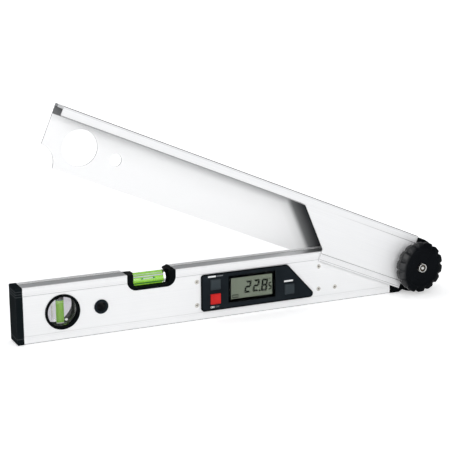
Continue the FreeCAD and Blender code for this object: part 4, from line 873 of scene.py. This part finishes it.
BAND_RADIUS = 6.72
BAND_THICKNESS = 0.15


def band_on_bar(name, rise, width, start, end, look):
    """A thin curved strip along the bar at an angle above its front, narrower at its ends."""
    outer, inner = BAND_RADIUS, BAND_RADIUS - BAND_THICKNESS
    loops = []
    for place in (start, start + 0.3, end - 0.3, end):
        spread = width * (0.4 if place in (start, end) else 1.0)
        loop = []
        for reach, turn in ((outer, -0.5), (outer, 0.0), (outer, 0.5), (inner, 0.5), (inner, -0.5)):
            angle = math.radians(rise + spread * turn)
            y, z = LEVEL[1] - reach * math.cos(angle), LEVEL[2] + reach * math.sin(angle)
            loop.append((LEVEL[0] + place, y, z))
        loops.append(loop)
    piece(name, *solid_of_loops(loops), "base", look, "base", slot="vial_fluid", sharp=60)


# Painted highlight lines along the bar
band_on_bar("level_vial_painted_highlight_upper", 53, 5.5, -18.5, 13.5, lilac)
band_on_bar("level_vial_painted_highlight_lower", 32, 10, -18.5, 15.5, lilac)
band_on_bar("level_vial_bubble", 12, 8, -7.6, 3.4, lilac)
band_on_bar("level_vial_bubble_left", 12, 10, -9.4, -7.4, teal)
band_on_bar("level_vial_bubble_right", 13, 14, 3.2, 5.2, teal)
# A painted shade line low on the front
band_on_bar("level_vial_painted_shade_line", -30, 10, -18.5, 14.0, teal)

# Hooked end of the saddle's right clip

hook = round_corners([(-290.0, 54.2, 0.8), (-287.6, 54.2, 0.8), (-286.0, 50.5, 0.8), (-283.6, 50.5, 0.3),
                      (-283.6, 57.9, 0.5), (-285.0, 58.2, 0.8), (-290.3, 56.0, 0.8)], 6)
piece("saddle_hook", *prism(hook, -5.5, 9.0), "base", black, "base", slot="black_plastic", sharp=50)


# Camera, light and stage

CAMERA_PLACE = (-0.5192, -1.1515, 0.3881)
CAMERA_TURN = (24.70, -13.03, -0.35)
camera_data = bpy.data.cameras.new("camera")
camera_data.lens = 100.57
camera_data.sensor_width = 36
camera_data.clip_start = 0.01
camera = bpy.data.objects.new("camera", camera_data)
bpy.context.scene.collection.objects.link(camera)
yaw, pitch, roll = (math.radians(a) for a in CAMERA_TURN)
forward = Vector((math.sin(yaw) * math.cos(pitch), math.cos(yaw) * math.cos(pitch), math.sin(pitch)))
right = Vector((math.cos(yaw), -math.sin(yaw), 0))
upward = right.cross(forward)
side = right * math.cos(roll) + upward * math.sin(roll)
top = upward * math.cos(roll) - right * math.sin(roll)
turn = Matrix((side, top, -forward)).transposed().to_4x4()
camera.matrix_world = Matrix.Translation(CAMERA_PLACE) @ turn
bpy.context.scene.camera = camera

MIDDLE = (0, 0, 0.1)
HINGE = (0.23, 0, 0.03)
LAMPS = {
    "key": ((-1.2, -2.0, 1.5), MIDDLE, (2.2, 1.5), 19),
    "fill": ((-0.3, -2.3, 0.6), MIDDLE, (1.6, 1.2), 7.5),
    "glint": ((0.1, -1.05, 0.16), HINGE, (0.3, 0.45), 0.8),
    "rim": ((-0.25, 1.3, 1.1), HINGE, (0.9, 0.6), 3),
    "overhead": ((0.1, 0.4, 2.0), (0, 0, 0.05), (2.0, 1.0), 5),
}
for name, (place, aim, size, power) in LAMPS.items():
    lamp_data = bpy.data.lights.new(name, "AREA")
    lamp_data.shape = "RECTANGLE"
    lamp_data.size, lamp_data.size_y = size
    lamp_data.energy = power
    lamp = bpy.data.objects.new(name, lamp_data)
    lamp.location = place
    lamp.rotation_euler = (Vector(aim) - Vector(place)).to_track_quat("-Z", "Y").to_euler()
    bpy.context.scene.collection.objects.link(lamp)

floor_mesh = bpy.data.meshes.new("floor")
sheet = bmesh.new()
bmesh.ops.create_circle(sheet, cap_ends=True, segments=96, radius=9)
sheet.to_mesh(floor_mesh)
sheet.free()
floor = bpy.data.objects.new("floor", floor_mesh)
floor.location = (0, 0, -0.0004)
bpy.context.scene.collection.objects.link(floor)
floor_look = Look("floor_paper")
grain = floor_look.noise((700, 700, 700), 2)
floor_look.put(floor_look.ramp(grain, (0.86, 0.86, 0.86), (0.9, 0.9, 0.9)), "Base Color")
floor_look.put(floor_look.ramp(grain, 0.85, 0.95), "Roughness")
paths = floor_look.node("LightPath")
away = floor_look.node("VectorMath", operation="LENGTH")
floor_look.link(floor_look.coords, away.inputs[0])
glow = floor_look.ramp(away.outputs["Value"], 0.42, 0.8, 0.6, 2.6)
mirrored = floor_look.math("ADD", paths.outputs["Is Glossy Ray"], paths.outputs["Is Transmission Ray"], True)
glow = floor_look.math("MULTIPLY", paths.outputs["Is Camera Ray"], glow)
floor_look.put(floor_look.math("ADD", glow, floor_look.math("MULTIPLY", mirrored, 0.7)), "Emission Strength")
floor_look.shader.inputs["Emission Color"].default_value = (1, 1, 1, 1)
floor_mesh.materials.append(floor_look.material)

# The world is white to the camera, and grey above the horizon in mirrored and refracted rays
world = bpy.data.worlds.new("studio")
bpy.context.scene.world = world
sky = Nodes(world)
paths = sky.node("LightPath")
mirrored = sky.math("MAXIMUM", paths.outputs["Is Glossy Ray"], paths.outputs["Is Transmission Ray"])
seen = sky.math("MAXIMUM", paths.outputs["Is Camera Ray"], mirrored)
dim = sky.node("Background")
sky.feed((0.97, 0.98, 1.0), dim.inputs["Color"])
sky.feed(0.55, dim.inputs["Strength"])
height = sky.node("SeparateXYZ")
sky.link(sky.node("TexCoord").outputs["Generated"], height.inputs[0])
above = sky.math("MULTIPLY", sky.ramp(height.outputs[2], 0.0, 1.0, 0.0, 0.16), mirrored)
white = sky.node("Background")
sky.feed(sky.over(above, (1.0, 1.0, 1.0), (0.40, 0.405, 0.415)), white.inputs["Color"])
sky.feed(1.0, white.inputs["Strength"])
mixed = sky.node("MixShader")
sky.link(seen, mixed.inputs[0])
sky.link(dim.outputs[0], mixed.inputs[1])
sky.link(white.outputs[0], mixed.inputs[2])
sky.link(mixed.outputs[0], sky.node("OutputWorld").inputs["Surface"])

bpy.context.scene.view_settings.view_transform = "Standard"
